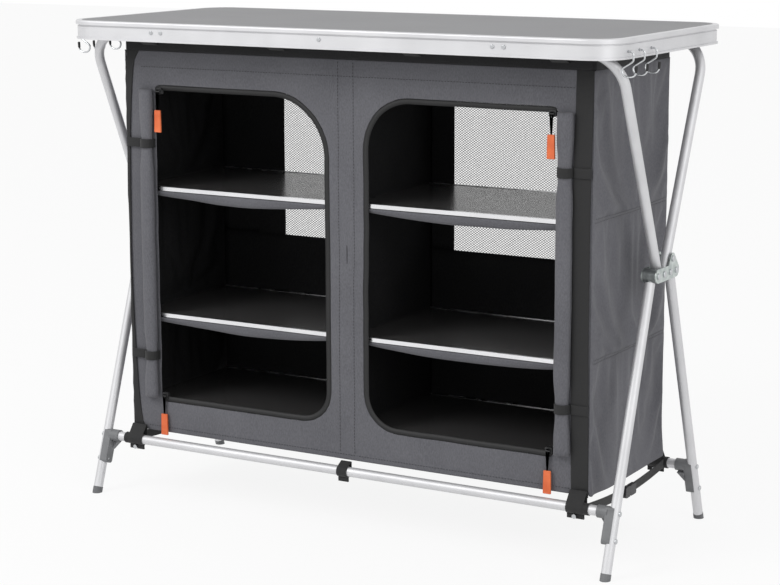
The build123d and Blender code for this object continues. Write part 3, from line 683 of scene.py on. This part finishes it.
# %% Back panel with window holes
net_low, net_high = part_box("mesh_windows")
window_inner = 0.044
window_outer = net_high.x
window_bottom = net_low.z
window_top = net_high.z


def cut_plane(work, place, axis, way=1, trim=False):
    """Cuts a mesh along a plane across one axis, and may take away what is beyond it."""
    normal = Vector((0, 0, 0))
    normal[axis] = way
    everything = work.verts[:] + work.edges[:] + work.faces[:]
    bmesh.ops.bisect_plane(work, geom=everything, plane_co=place, plane_no=normal, clear_outer=trim)


def cut_windows(work):
    for sign in (-1, 1):
        inner = Vector((sign * window_inner, 0, window_bottom))
        outer = Vector((sign * window_outer, 0, window_top))
        for place, axis in ((inner, 0), (outer, 0), (inner, 2), (outer, 2)):
            cut_plane(work, place, axis)
        gone = []
        for face in work.faces:
            centre = face.calc_center_median()
            across = window_inner < centre.x * sign < window_outer
            if across and window_bottom < centre.z < window_top:
                gone.append(face)
        bmesh.ops.delete(work, geom=gone, context="FACES")
    return work


back_work = cut_windows(grid(back_low, back_high, 0.012, 1))
for vertex in back_work.verts:
    sway = ripple(Vector((vertex.co.x, 0, vertex.co.z * 0.6)), 0.1, 9.0)
    vertex.co.y = rear_y - cloth_thickness / 2 + 0.0022 * edge_hold(vertex.co) * sway
back_cloth = make_piece("back_cloth", back_work, cabinet_cloth, "frame")
shade_inside_face(back_cloth, Vector((0, -1, 0)))
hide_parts("back_panel")

# %% Divider
divider_low, divider_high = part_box("divider")
divider_work = grid(divider_low, divider_high, 0.01, 0)
for vertex in divider_work.verts:
    to_edge = min(vertex.co.y - divider_low.y, divider_high.y - vertex.co.y)
    hold = clamp(to_edge / 0.04)
    vertex.co.x = 0.003 * hold * ripple(Vector((0, vertex.co.y, vertex.co.z * 0.5)), 0.08, 4.0)
# The divider takes the dark inside cloth: painted shade inside the cupboard.
divider_cloth = make_piece("divider_cloth", divider_work, inside_shade_cloth, "frame")
thicken(divider_cloth, cloth_thickness)
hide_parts("divider")

# %% Diamond nets
net_cell = (0.0060, 0.0042)
net_thread_width = 0.0012
net_tuck = 0.002


def net_work(sign):
    """A turned grid, trimmed to the window, whose cells are wider than they are high."""
    work = bmesh.new()
    reach = 1.1 * (window_outer - window_inner + (window_top - window_bottom) * net_cell[0] / net_cell[1])
    cells = int(reach / net_cell[0])
    bmesh.ops.create_grid(work, x_segments=cells, y_segments=cells, size=cells / 2)
    bmesh.ops.rotate(work, verts=work.verts, matrix=Matrix.Rotation(math.radians(45), 3, "Z"))
    size = Vector((net_cell[0] / math.sqrt(2), net_cell[1] / math.sqrt(2), 1))
    bmesh.ops.scale(work, verts=work.verts, vec=size)
    bmesh.ops.rotate(work, verts=work.verts, matrix=Matrix.Rotation(math.radians(90), 3, "X"))
    middle = Vector((sign * (window_inner + window_outer) / 2, (net_low.y + net_high.y) / 2,
                     (window_bottom + window_top) / 2))
    bmesh.ops.translate(work, verts=work.verts, vec=middle)
    half_across = (window_outer - window_inner) / 2 + net_tuck
    half_up = (window_top - window_bottom) / 2 + net_tuck
    half = Vector((half_across, 0, half_up))
    for axis in (0, 2):
        for way in (-1, 1):
            place = middle.copy()
            place[axis] += way * half[axis]
            cut_plane(work, place, axis, way, trim=True)
    return work


for side_name, sign in sides:
    net = make_piece(f"window_net_{side_name}", net_work(sign), net_thread, "frame",
                     smooth=False)
    threads = net.modifiers.new("threads", "WIREFRAME")
    threads.thickness = net_thread_width
    threads.use_even_offset = False
    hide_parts("mesh_windows")
    print(net.name, len(net.data.edges), "threads")

# %% [markdown]
# ## Straps and hems
# Webbing is a flat band, 1.5 mm thick, so each strap is a line of edges as long as the band is wide, pulled
# along its way step by step and then given its thickness. A hem is made the same way.

# %% Pull a band along a line of points
webbing_thickness = 0.0015


def pull_edges(work, edges, move):
    """Pulls a row of edges out into a row of faces, and gives the edges of its far side."""
    made = bmesh.ops.extrude_edge_only(work, edges=edges)
    moved = [part for part in made["geom"] if isinstance(part, bmesh.types.BMVert)]
    bmesh.ops.translate(work, verts=moved, vec=move)
    fresh = set(moved)
    return [part for part in made["geom"]
            if isinstance(part, bmesh.types.BMEdge) and all(vertex in fresh for vertex in part.verts)]


def band(points, across, width, columns=4):
    """A strip through the points, width wide along the direction across."""
    work = bmesh.new()
    step = across.normalized() * (width / columns)
    start = points[0] - across.normalized() * (width / 2)
    row = [work.verts.new(start + step * number) for number in range(columns + 1)]
    edges = [work.edges.new(pair) for pair in zip(row, row[1:])]
    for before, after in zip(points, points[1:]):
        edges = pull_edges(work, edges, after - before)
    return work


def arc_points(centre, radius, start_angle, end_angle, count):
    """Points round a tube that runs along X. An angle of 0 points to +Y and 90 degrees points up."""
    places = []
    for number in range(count + 1):
        angle = math.radians(start_angle + (end_angle - start_angle) * number / count)
        places.append(centre + Vector((0, math.cos(angle) * radius, math.sin(angle) * radius)))
    return places


def finished_strap(name, work, material, body, node, thickness=webbing_thickness):
    strap = make_piece(name, work, material, body)
    thicken(strap, thickness)
    round_edges(strap, 0.0004)
    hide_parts(node)
    return strap


# %% Corner straps
strap_low, strap_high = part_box("corner_straps")
strap_width = 0.029
strap_x = half_width - strap_width / 2
strap_columns = 10
strap_steps = 40


def lay_round_corner(vertex, face_y):
    """Slips a strap round the left front corner, most at its middle, so that part of it is on the end."""
    share = (strap_high.z - vertex.co.z) / (strap_high.z - strap_low.z)
    on_front = strap_width * (1.0 - 0.95 * math.sin(math.pi * clamp(share)) ** 0.4)
    across = vertex.co.x + strap_x
    from_inner = strap_width / 2 - across
    corner_x = -half_width - webbing_thickness / 2
    if from_inner < on_front:
        vertex.co.x = corner_x + on_front - from_inner
        return
    vertex.co.x = corner_x
    vertex.co.y = face_y + from_inner - on_front


for end_name, way in ends:
    for side_name, sign in sides:
        face_y = way * (abs(strap_low.y) - webbing_thickness / 2)
        points = []
        for number in range(strap_steps + 1):
            z = strap_high.z + (strap_low.z - strap_high.z) * number / strap_steps
            sway = ripple(Vector((sign * 0.7, way * 0.4, z * 0.5)), 0.08, 1.0)
            slack = math.sin(math.pi * number / strap_steps)
            points.append(Vector((sign * strap_x - sign * 0.0035 * slack + 0.0015 * sway * slack,
                                  face_y + way * (0.0012 * slack + 0.0006 * abs(sway)), z)))
        work = band(points, Vector((1, 0, 0)), strap_width, strap_columns)
        for vertex in work.verts:
            twist = (vertex.co.x - sign * strap_x) / strap_width
            sway = ripple(Vector((0.3 * sign, way * 0.2, vertex.co.z)), 0.12, 6.0)
            vertex.co.y += way * 0.0012 * twist * sway
            if way < 0 and sign < 0:
                lay_round_corner(vertex, face_y)
        finished_strap(f"corner_strap_{end_name}_{side_name}", work, upright_webbing, "frame",
                       "corner_straps")

# %% Top hem, the black tape that closes the cupboard's top edge
hem_low, hem_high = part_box("top_band")
hem_round = 0.006


def hem_line(z):
    """The way round the cupboard, with the corners turned in a few steps."""
    reach_x = hem_high.x - 0.0008
    reach_y = hem_high.y - 0.0008
    places = []
    for sx, sy, first in ((1, -1, -90), (1, 1, 0), (-1, 1, 90), (-1, -1, 180)):
        for number in range(5):
            angle = math.radians(first + 90 * number / 4)
            centre = Vector((sx * (reach_x - hem_round), sy * (reach_y - hem_round), z))
            places.append(centre + Vector((math.cos(angle), math.sin(angle), 0)) * hem_round)
    return places + [places[0]]


hem_points = []
hem_middle = (hem_low.z + hem_high.z) / 2
hem_way = hem_line(hem_middle)
for before, after in zip(hem_way, hem_way[1:]):
    steps = max(1, round((after - before).length / 0.02))
    hem_points += [before.lerp(after, number / steps) for number in range(steps)]
hem_points.append(hem_points[0])
hem_work = band(hem_points, Vector((0, 0, 1)), hem_high.z - hem_low.z)
bmesh.ops.remove_doubles(hem_work, verts=hem_work.verts, dist=0.00005)
for vertex in hem_work.verts:
    sway = ripple(vertex.co, 0.05, 2.5)
    vertex.co.y += 0.0006 * sway
    vertex.co.x += 0.0005 * sway
top_hem = make_piece("top_hem", hem_work, black_tape, "frame")
thicken(top_hem, 0.0014)
round_edges(top_hem, 0.0004)
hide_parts("top_band")
print("top hem", len(hem_points), "steps")

# %% [markdown]
# ## Loops round the tubes
# The cupboard hangs from the two top bars in loops, and more loops hold its corners to the rails.
# Each loop leaves its sewn tip, goes round the tube and comes back, on the tube's own circle.

# %% Loop line and the loops on the rails
tube_radius = 0.008
loop_radius = tube_radius + 0.0011
rail_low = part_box("front_rail")[0]
loop_wall = 0.0013
tail_wall = 0.0028
middle_loop_width = 0.019
sewn_out = 0.0032
sewn_up = 0.009
middle_sewn_down = 0.001
rail_centre = Vector((0, rail_low.y + tube_radius, rail_low.z + tube_radius))


def loop_line(tube_centre, tip):
    """From the tip round the tube and back, for a tube that runs along X."""
    offset = tip - tube_centre
    reach = math.hypot(offset.y, offset.z)
    lean = math.degrees(math.atan2(offset.z, offset.y))
    open_angle = math.degrees(math.acos(min(1.0, loop_radius / reach)))
    turn = arc_points(tube_centre, loop_radius, lean - open_angle, lean + open_angle - 360.0, 18)
    ply = Vector((0, 0.0009, 0))
    near = tip + ply
    far = tip - ply
    first = [near.lerp(turn[0], share) for share in (0, 0.33, 0.66)]
    last = [turn[-1].lerp(far, share) for share in (0.33, 0.66, 1)]
    return first + turn + last


def shifted(points, x):
    return [point + Vector((x, 0, 0)) for point in points]


for end_name, way in ends:
    body = f"{end_name}_legs"
    node = f"{end_name}_rail_loops"
    centre = Vector((0, way * abs(rail_centre.y), rail_centre.z))
    tip = Vector((0, way * (abs(strap_low.y) + sewn_out), hem_bottom + sewn_up))
    low_tip = Vector((0, way * (abs(strap_low.y) + sewn_out), hem_bottom - middle_sewn_down))
    loops = (("right", strap_x, strap_width, tip), ("left", -strap_x, strap_width, tip),
             ("middle", 0.0, middle_loop_width, low_tip))
    for place, x, width, point in loops:
        work = band(shifted(loop_line(centre, point), x), Vector((1, 0, 0)), width)
        finished_strap(f"rail_loop_{end_name}_{place}", work, upright_webbing, body, node,
                       thickness=loop_wall)
        drop = centre.z - tube_radius
        tail = [Vector((x, centre.y + way * 0.001, drop - 0.0002)),
                Vector((x, centre.y + way * 0.0014, drop - 0.0045)),
                Vector((x, centre.y + way * 0.001, drop - 0.009))]
        tail_work = band(tail, Vector((1, 0, 0)), width)
        finished_strap(f"loop_tail_{end_name}_{place}", tail_work, upright_webbing, body, node,
                       thickness=tail_wall)

# %% Hanger loops on the top bars
bar_low, bar_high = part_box("upper_front_frame")
bar_centre = Vector((0, bar_low.y + tube_radius, bar_high.z - tube_radius))
hanger_width = 0.029
hanger_out = 0.0016
for end_name, way in ends:
    centre = Vector((0, way * abs(bar_centre.y), bar_centre.z))
    tip = Vector((0, way * (hem_high.y + hanger_out), hem_middle))
    for number, share in enumerate((-0.873, -0.29, 0.29, 0.873), start=1):
        work = band(shifted(loop_line(centre, tip), share * half_width), Vector((1, 0, 0)), hanger_width)
        finished_strap(f"hanger_{end_name}_{number}", work, upright_webbing, "frame", "hanger_loops",
                       thickness=loop_wall)
print("loops made from tube radius", tube_radius)

# %% [markdown]
# ## The straps along both ends
# A strap ties the front rail to the rear rail at each end, with a buckle in the middle. Its two halves ride
# with their own rails. Slack webbing sags a little and leans, so its line is not quite straight.

# %% Side straps
buckle_low, buckle_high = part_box("strap_buckles")
tongue_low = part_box("strap_tongues")[0]
side_strap_x = half_width + 0.002 + webbing_thickness / 2
buckle_z = (buckle_low.z + buckle_high.z) / 2
side_strap_width = 0.0145
ring_width = 0.0115
ring_wall = 0.0012
for end_name, way, end_y in (("front", -1, tongue_low.y), ("rear", 1, buckle_high.y)):
    for side_name, sign in sides:
        centre = Vector((sign * side_strap_x, way * abs(rail_centre.y), rail_centre.z))
        inner_y = way * (abs(rail_centre.y) - tube_radius - 0.001)
        points = []
        for number in range(13):
            share = number / 12
            sag = -0.0015 * math.sin(math.pi * share)
            points.append(Vector((sign * side_strap_x, inner_y + (end_y - inner_y) * share,
                                  rail_centre.z + (buckle_z - rail_centre.z) * share + sag)))
        work = band(points, Vector((0, 0, 1)), side_strap_width)
        finished_strap(f"side_strap_{end_name}_{side_name}", work, deep_webbing, f"{end_name}_legs",
                       f"{end_name}_side_straps")
        ring_centre = Vector((sign * (side_strap_x + 0.0002), centre.y, centre.z))
        ring = arc_points(ring_centre, tube_radius + 0.001, 0, 360, 28)
        ring_work = band(ring, Vector((1, 0, 0)), ring_width)
        bmesh.ops.remove_doubles(ring_work, verts=ring_work.verts, dist=0.00005)
        finished_strap(f"strap_ring_{end_name}_{side_name}", ring_work, deep_webbing, f"{end_name}_legs",
                       f"{end_name}_side_straps", thickness=ring_wall)

# %% [markdown]
# ## Rolled doors
# Each door is rolled up to the outer side of its opening and held by two small straps. Seen from its end
# the roll is a flattened spiral of cloth, so the spiral is drawn once and pulled upwards in steps, and each
# step is made narrower at the straps and fuller between them.

# %% Door rolls
roll_low, roll_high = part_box("door_roll_right")
roll_strap_low, roll_strap_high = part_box("roll_straps")
roll_x = (roll_low.x + roll_high.x) / 2
roll_half_width = 0.0135
roll_strap_width = 0.015
roll_depth = 0.0135
lower_strap_z = roll_strap_low.z + roll_strap_width / 2
upper_strap_z = roll_strap_high.z - roll_strap_width / 2
roll_turns = 6.0
spiral_points = 130
roll_layers = 64
roll_drawn = 0.8
roll_gap = 0.0012


def roll_fullness(z):
    """1 where the roll is free and 0.8 where a strap draws it in."""
    nearest = min(abs(z - lower_strap_z), abs(z - upper_strap_z))
    free = clamp((nearest - 0.006) / 0.045)
    return roll_drawn + 0.22 * free * free * (3 - 2 * free)


def roll_work(sign):
    work = bmesh.new()
    line = []
    for number in range(spiral_points + 1):
        share = number / spiral_points
        angle = 2 * math.pi * roll_turns * share + math.radians(20)
        reach = 1.0 - 0.72 * share
        wobble = 1.0 + 0.05 * math.sin(3.0 * angle + 1.0)
        line.append(work.verts.new(Vector((sign * math.cos(angle) * reach * wobble,
                                           math.sin(angle) * reach * wobble, 0))))
    edges = [work.edges.new(pair) for pair in zip(line, line[1:])]
    rise = Vector((0, 0, (roll_high.z - roll_low.z) / roll_layers))
    for layer in range(roll_layers):
        edges = pull_edges(work, edges, rise)
    for vertex in work.verts:
        z = roll_low.z + vertex.co.z
        full = roll_fullness(z)
        crumple = 1.0 + 0.05 * ripple(Vector((vertex.co.x * 0.02, sign * 0.3, z)), 0.035, 2.0 + sign)
        lean = 0.002 * ripple(Vector((0, 0, z)), 0.12, 4.0 + sign)
        x = sign * roll_x + vertex.co.x * roll_half_width * full * crumple + lean
        y = front_y - 0.0016 - roll_depth * full * (0.5 - 0.5 * vertex.co.y * crumple)
        vertex.co = Vector((x, min(y, front_y - roll_gap), z))
    return work


for side_name, sign in sides:
    roll = make_piece(f"rolled_door_{side_name}", roll_work(sign), cabinet_cloth, "frame")
    thicken(roll, 0.0009)
    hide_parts(f"door_roll_{side_name}")
    print(roll.name, [round(value, 4) for value in roll.dimensions])

# %% Roll straps
for side_name, sign in sides:
    for place, z in (("low", lower_strap_z), ("high", upper_strap_z)):
        half = roll_half_width * roll_drawn + 0.0018
        deep = roll_depth * roll_drawn + 0.0036
        outer_end = roll_strap_high.x - roll_x
        line = [(-half - 0.001, 0.0009)]
        for number in range(21):
            angle = math.pi * (1 - number / 20)
            line.append((math.cos(angle) * half, 0.0009 + math.sin(angle) ** 0.75 * deep))
        line += [(half + 0.002, 0.0036), (half + 0.006, 0.0042)]
        line += [(outer_end - 0.006, 0.0042), (outer_end, 0.0034)]
        points = [Vector((sign * (roll_x + along), front_y - out, z)) for along, out in line]
        work = band(points, Vector((0, 0, 1)), roll_strap_width)
        finished_strap(f"roll_strap_{place}_{side_name}", work, level_webbing, "frame", "roll_straps",
                       thickness=loop_wall)

# %% [markdown]
# ## Cloth under the shelves
# Each board lies in a pocket of cloth that is sewn to the walls and hangs slack underneath it. The slack
# shows as a shallow bag under the board's front edge.

# %% Shelf slings
sling_low, sling_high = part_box("shelf_slings")
trim_wall = 0.0008
sling_cell = 0.0105
row_crowding = 1.7
lip_turn = 0.007
belly_drop = 0.0155
belly_wave = 0.008


def sling_work(sign, board_low, board_high, seed):
    top = board_low.z - trim_wall - 0.0008
    low = Vector((0.0012, sling_low.y, top))
    high = Vector((sling_high.x - 0.001, sling_high.y, top))
    work = grid(low, high, sling_cell, 2)
    for vertex in work.verts:
        share = (vertex.co.x - low.x) / (high.x - low.x)
        deep = ((vertex.co.y - low.y) / (high.y - low.y)) ** row_crowding
        vertex.co.y = low.y + deep * (high.y - low.y)
        belly = math.sin(math.pi * share) ** 0.6
        turned = min(1.0, (vertex.co.y - low.y) / lip_turn)
        lip = (1.0 - 0.25 * deep) * turned * (2.0 - turned)
        wave_one = 0.3 * ripple(Vector((vertex.co.x, vertex.co.y * 0.4, 0)), 0.09, seed)
        vertex.co.z -= belly * lip * (belly_drop + belly_wave * wave_one) + 0.0004
        vertex.co.x *= sign
    return work


seed = 1.0
for level in ("floor_boards", "middle_shelves", "top_shelves"):
    board_low, board_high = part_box(level)
    for side_name, sign in sides:
        seed += 3.7
        sling = make_piece(f"sling_{level}_{side_name}", sling_work(sign, board_low, board_high, seed),
                           cabinet_cloth, "frame")
        thicken(sling, 0.0009)
        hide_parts("shelf_slings")

# %% [markdown]
# ## Zip pulls
# A pull is a soft orange tab moulded onto a black cord, which is looped through the slider. The tab is a
# box whose edges are rounded and whose front is inset a little.

# %% Pull tabs with their cords
def pull_tab(tab_low, tab_high):
    work = bmesh.new()
    bmesh.ops.create_cube(work, size=1.0)
    bmesh.ops.scale(work, verts=work.verts, vec=tab_high - tab_low)
    bmesh.ops.translate(work, verts=work.verts, vec=(tab_low + tab_high) / 2)
    top = [vertex for vertex in work.verts if vertex.co.z > (tab_low.z + tab_high.z) / 2]
    middle_x = (tab_low.x + tab_high.x) / 2
    for vertex in top:
        vertex.co.x = middle_x + (vertex.co.x - middle_x) * 0.9
    bmesh.ops.bevel(work, geom=work.edges[:], offset=0.0011, segments=3, profile=0.5, affect="EDGES",
                    material=-1)
    wide = sorted(work.faces, key=lambda face: face.calc_area())[-2:]
    bmesh.ops.inset_individual(work, faces=wide, thickness=0.0012, depth=-0.0005)
    return work


cord_radius = 0.0015
tab_half_width = 0.0068
tab_height = 0.0375
tab_front = 0.0045
tab_back = 0.0007
for place in ("top", "bottom"):
    for side_name in ("right", "left"):
        node = f"zip_pull_{place}_{side_name}"
        body = f"pull_{place}_{side_name}"
        low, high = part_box(node)
        middle = (low + high) / 2
        tab_high = Vector((middle.x + tab_half_width, high.y - tab_back, low.z + tab_height))
        tab_low = Vector((middle.x - tab_half_width, high.y - tab_front, low.z + 0.0003))
        tab = make_piece(f"pull_tab_{place}_{side_name}", pull_tab(tab_low, tab_high), pull_plastic, body,
                         smooth=False)
        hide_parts(node)
        bail_z = high.z - 0.0026
        middle_y = (tab_low.y + tab_high.y) / 2
        cord_work = bmesh.new()
        bmesh.ops.create_circle(cord_work, segments=10, radius=cord_radius)
        turn = Matrix.Rotation(math.radians(90), 3, "X")
        bmesh.ops.rotate(cord_work, verts=cord_work.verts, matrix=turn)
        bmesh.ops.translate(cord_work, verts=cord_work.verts, vec=(middle.x + 0.0019, middle_y, bail_z))
        geometry = cord_work.verts[:] + cord_work.edges[:]
        bmesh.ops.spin(cord_work, geom=geometry, cent=(middle.x, middle_y, bail_z), axis=(0, 1, 0),
                       dvec=(0, 0, 0), angle=math.radians(360), steps=20, use_merge=True,
                       use_duplicate=False)
        for vertex in cord_work.verts:
            if vertex.co.z < bail_z:
                drop = (bail_z - vertex.co.z) / 0.00255
                vertex.co.z = bail_z - drop * (bail_z - tab_high.z + 0.002)
                vertex.co.x = middle.x + (vertex.co.x - middle.x) * (1.0 - 0.35 * drop)
        cord = make_piece(f"pull_cord_{place}_{side_name}", cord_work, stitch_thread, body)
        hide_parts(node)

# %% [markdown]
# ## Stitching
# A sewn seam shows as a row of short dark stitches pressed into the cloth. One stitch is a small rounded
# bar, and a row is the same bar set down again and again on the surface of the cloth.

# %% Rows of stitches
stitch_pitch = 0.0052
stitch_lift = 0.0007
row_gap = 0.0028
middle_row_x = 0.014


def add_stitch(work, place, heading, outwards, length=0.0034, width=0.0009):
    turn = Matrix((heading, outwards.cross(heading), outwards)).transposed().to_4x4()
    size = Matrix.Diagonal((length, width, 0.0008, 1.0))
    bmesh.ops.create_icosphere(work, subdivisions=1, radius=0.5,
                               matrix=Matrix.Translation(place) @ turn @ size)


def surface_point(piece, start, direction):
    """Where a ray from start first meets the piece's own mesh."""
    hit, place, normal, index = piece.ray_cast(start, direction)
    return place if hit else None


def seam_row(work, piece, first, last, look):
    """Stitches from first to last, each laid on the piece as seen along the direction look."""
    count = int((last - first).length / stitch_pitch)
    heading = (last - first).normalized()
    made = 0
    for number in range(count):
        start = first.lerp(last, (number + 0.5) / count)
        place = surface_point(piece, start - look * 0.05, look)
        if place is not None:
            add_stitch(work, place - look * stitch_lift, heading, -look)
            made += 1
    return made


stitch_work = bmesh.new()
stitch_count = 0
for sign in (-1, 1):
    look = Vector((-sign, 0, 0))
    piece = side_cloths[sign]
    for z in (lower_seam, upper_seam):
        for shift in (-row_gap, row_gap):
            first = Vector((sign * (half_width + 0.01), side_low.y + 0.004, z + shift))
            last = Vector((sign * (half_width + 0.01), side_high.y - 0.004, z + shift))
            stitch_count += seam_row(stitch_work, piece, first, last, look)
look = Vector((0, 1, 0))
for x in (-middle_row_x, middle_row_x):
    first = Vector((x, front_y - 0.02, hem_bottom + 0.012))
    last = Vector((x, front_y - 0.02, panel_top - 0.003))
    stitch_count += seam_row(stitch_work, front_cloth, first, last, look)
for z in (hem_bottom + 0.009, opening_top + 0.03):
    first = Vector((-half_width + 0.031, front_y - 0.02, z))
    last = Vector((half_width - 0.031, front_y - 0.02, z))
    stitch_count += seam_row(stitch_work, front_cloth, first, last, look)
make_piece("stitches", stitch_work, stitch_thread, "frame", smooth=False)
print(stitch_count, "stitches")

# %% [markdown]
# ## Floor and light
# A pale floor carries the object's shadow. The light is a white surround with a broad soft lamp from the
# upper left and a weaker one from the right, at a level where a colour shows about as it is written. The
# camera, and what metal mirrors, see the floor and the surround as white, but they give off less light.

# %% Floor
white = (1.0, 1.0, 1.0, 1.0)
floor_white_share = 0.88
surround_strength = 0.66


def seen_rays(owner):
    """1 for the rays that show something to the camera, straight, mirrored or through glass."""
    rays = add(owner, "ShaderNodeLightPath")
    seen = mixed(owner, "MAXIMUM", rays.outputs["Is Camera Ray"], rays.outputs["Is Glossy Ray"])
    return mixed(owner, "MAXIMUM", seen, rays.outputs["Is Transmission Ray"])


floor_work = bmesh.new()
bmesh.ops.create_grid(floor_work, x_segments=1, y_segments=1, size=12.0)
floor_mesh = bpy.data.meshes.new("floor")
floor_work.to_mesh(floor_mesh)
floor_work.free()
floor = bpy.data.objects.new("floor", floor_mesh)
bpy.context.scene.collection.objects.link(floor)
floor_white = finish("floor_white", (0.92, 0.92, 0.92, 1.0), 0.9)
floor_shows = add(floor_white, "ShaderNodeEmission", Color=white, Strength=1.0)
floor_mix = add(floor_white, "ShaderNodeMixShader")
floor_nodes = floor_white.node_tree.nodes
white_share = mixed(floor_white, "MULTIPLY", seen_rays(floor_white), floor_white_share)
join(floor_white, white_share, floor_mix.inputs["Fac"])
join(floor_white, floor_nodes["Principled BSDF"].outputs["BSDF"], floor_mix.inputs[1])
join(floor_white, floor_shows.outputs["Emission"], floor_mix.inputs[2])
join(floor_white, floor_mix.outputs["Shader"], floor_nodes["Material Output"].inputs["Surface"])
floor_mesh.materials.append(floor_white)

# %% World and lamp
world = bpy.data.worlds.new("surround")
bpy.context.scene.world = world
world.use_nodes = True
shown = world.node_tree.nodes["Background"]
shown.inputs["Color"].default_value = white
shown.inputs["Strength"].default_value = 1.0
lighting = add(world, "ShaderNodeBackground", Color=white, Strength=surround_strength)
choice = add(world, "ShaderNodeMixShader")
join(world, seen_rays(world), choice.inputs["Fac"])
join(world, lighting.outputs["Background"], choice.inputs[1])
join(world, shown.outputs["Background"], choice.inputs[2])
join(world, choice.outputs["Shader"], world.node_tree.nodes["World Output"].inputs["Surface"])


def lamp(name, place, aim, size, power):
    data = bpy.data.lights.new(name, "AREA")
    data.shape = "DISK"
    data.size = size
    data.energy = power
    light = bpy.data.objects.new(name, data)
    bpy.context.scene.collection.objects.link(light)
    light.location = place
    light.rotation_euler = (Vector(aim) - Vector(place)).to_track_quat("-Z", "Y").to_euler()


lamp("key", (-1.6, -2.6, 2.6), (0.0, 0.0, 0.4), 1.8, 50.0)
lamp("fill", (3.0, -1.4, 1.6), (0.3, 0.0, 0.4), 2.0, 22.0)
bpy.context.scene.view_settings.view_transform = "Standard"
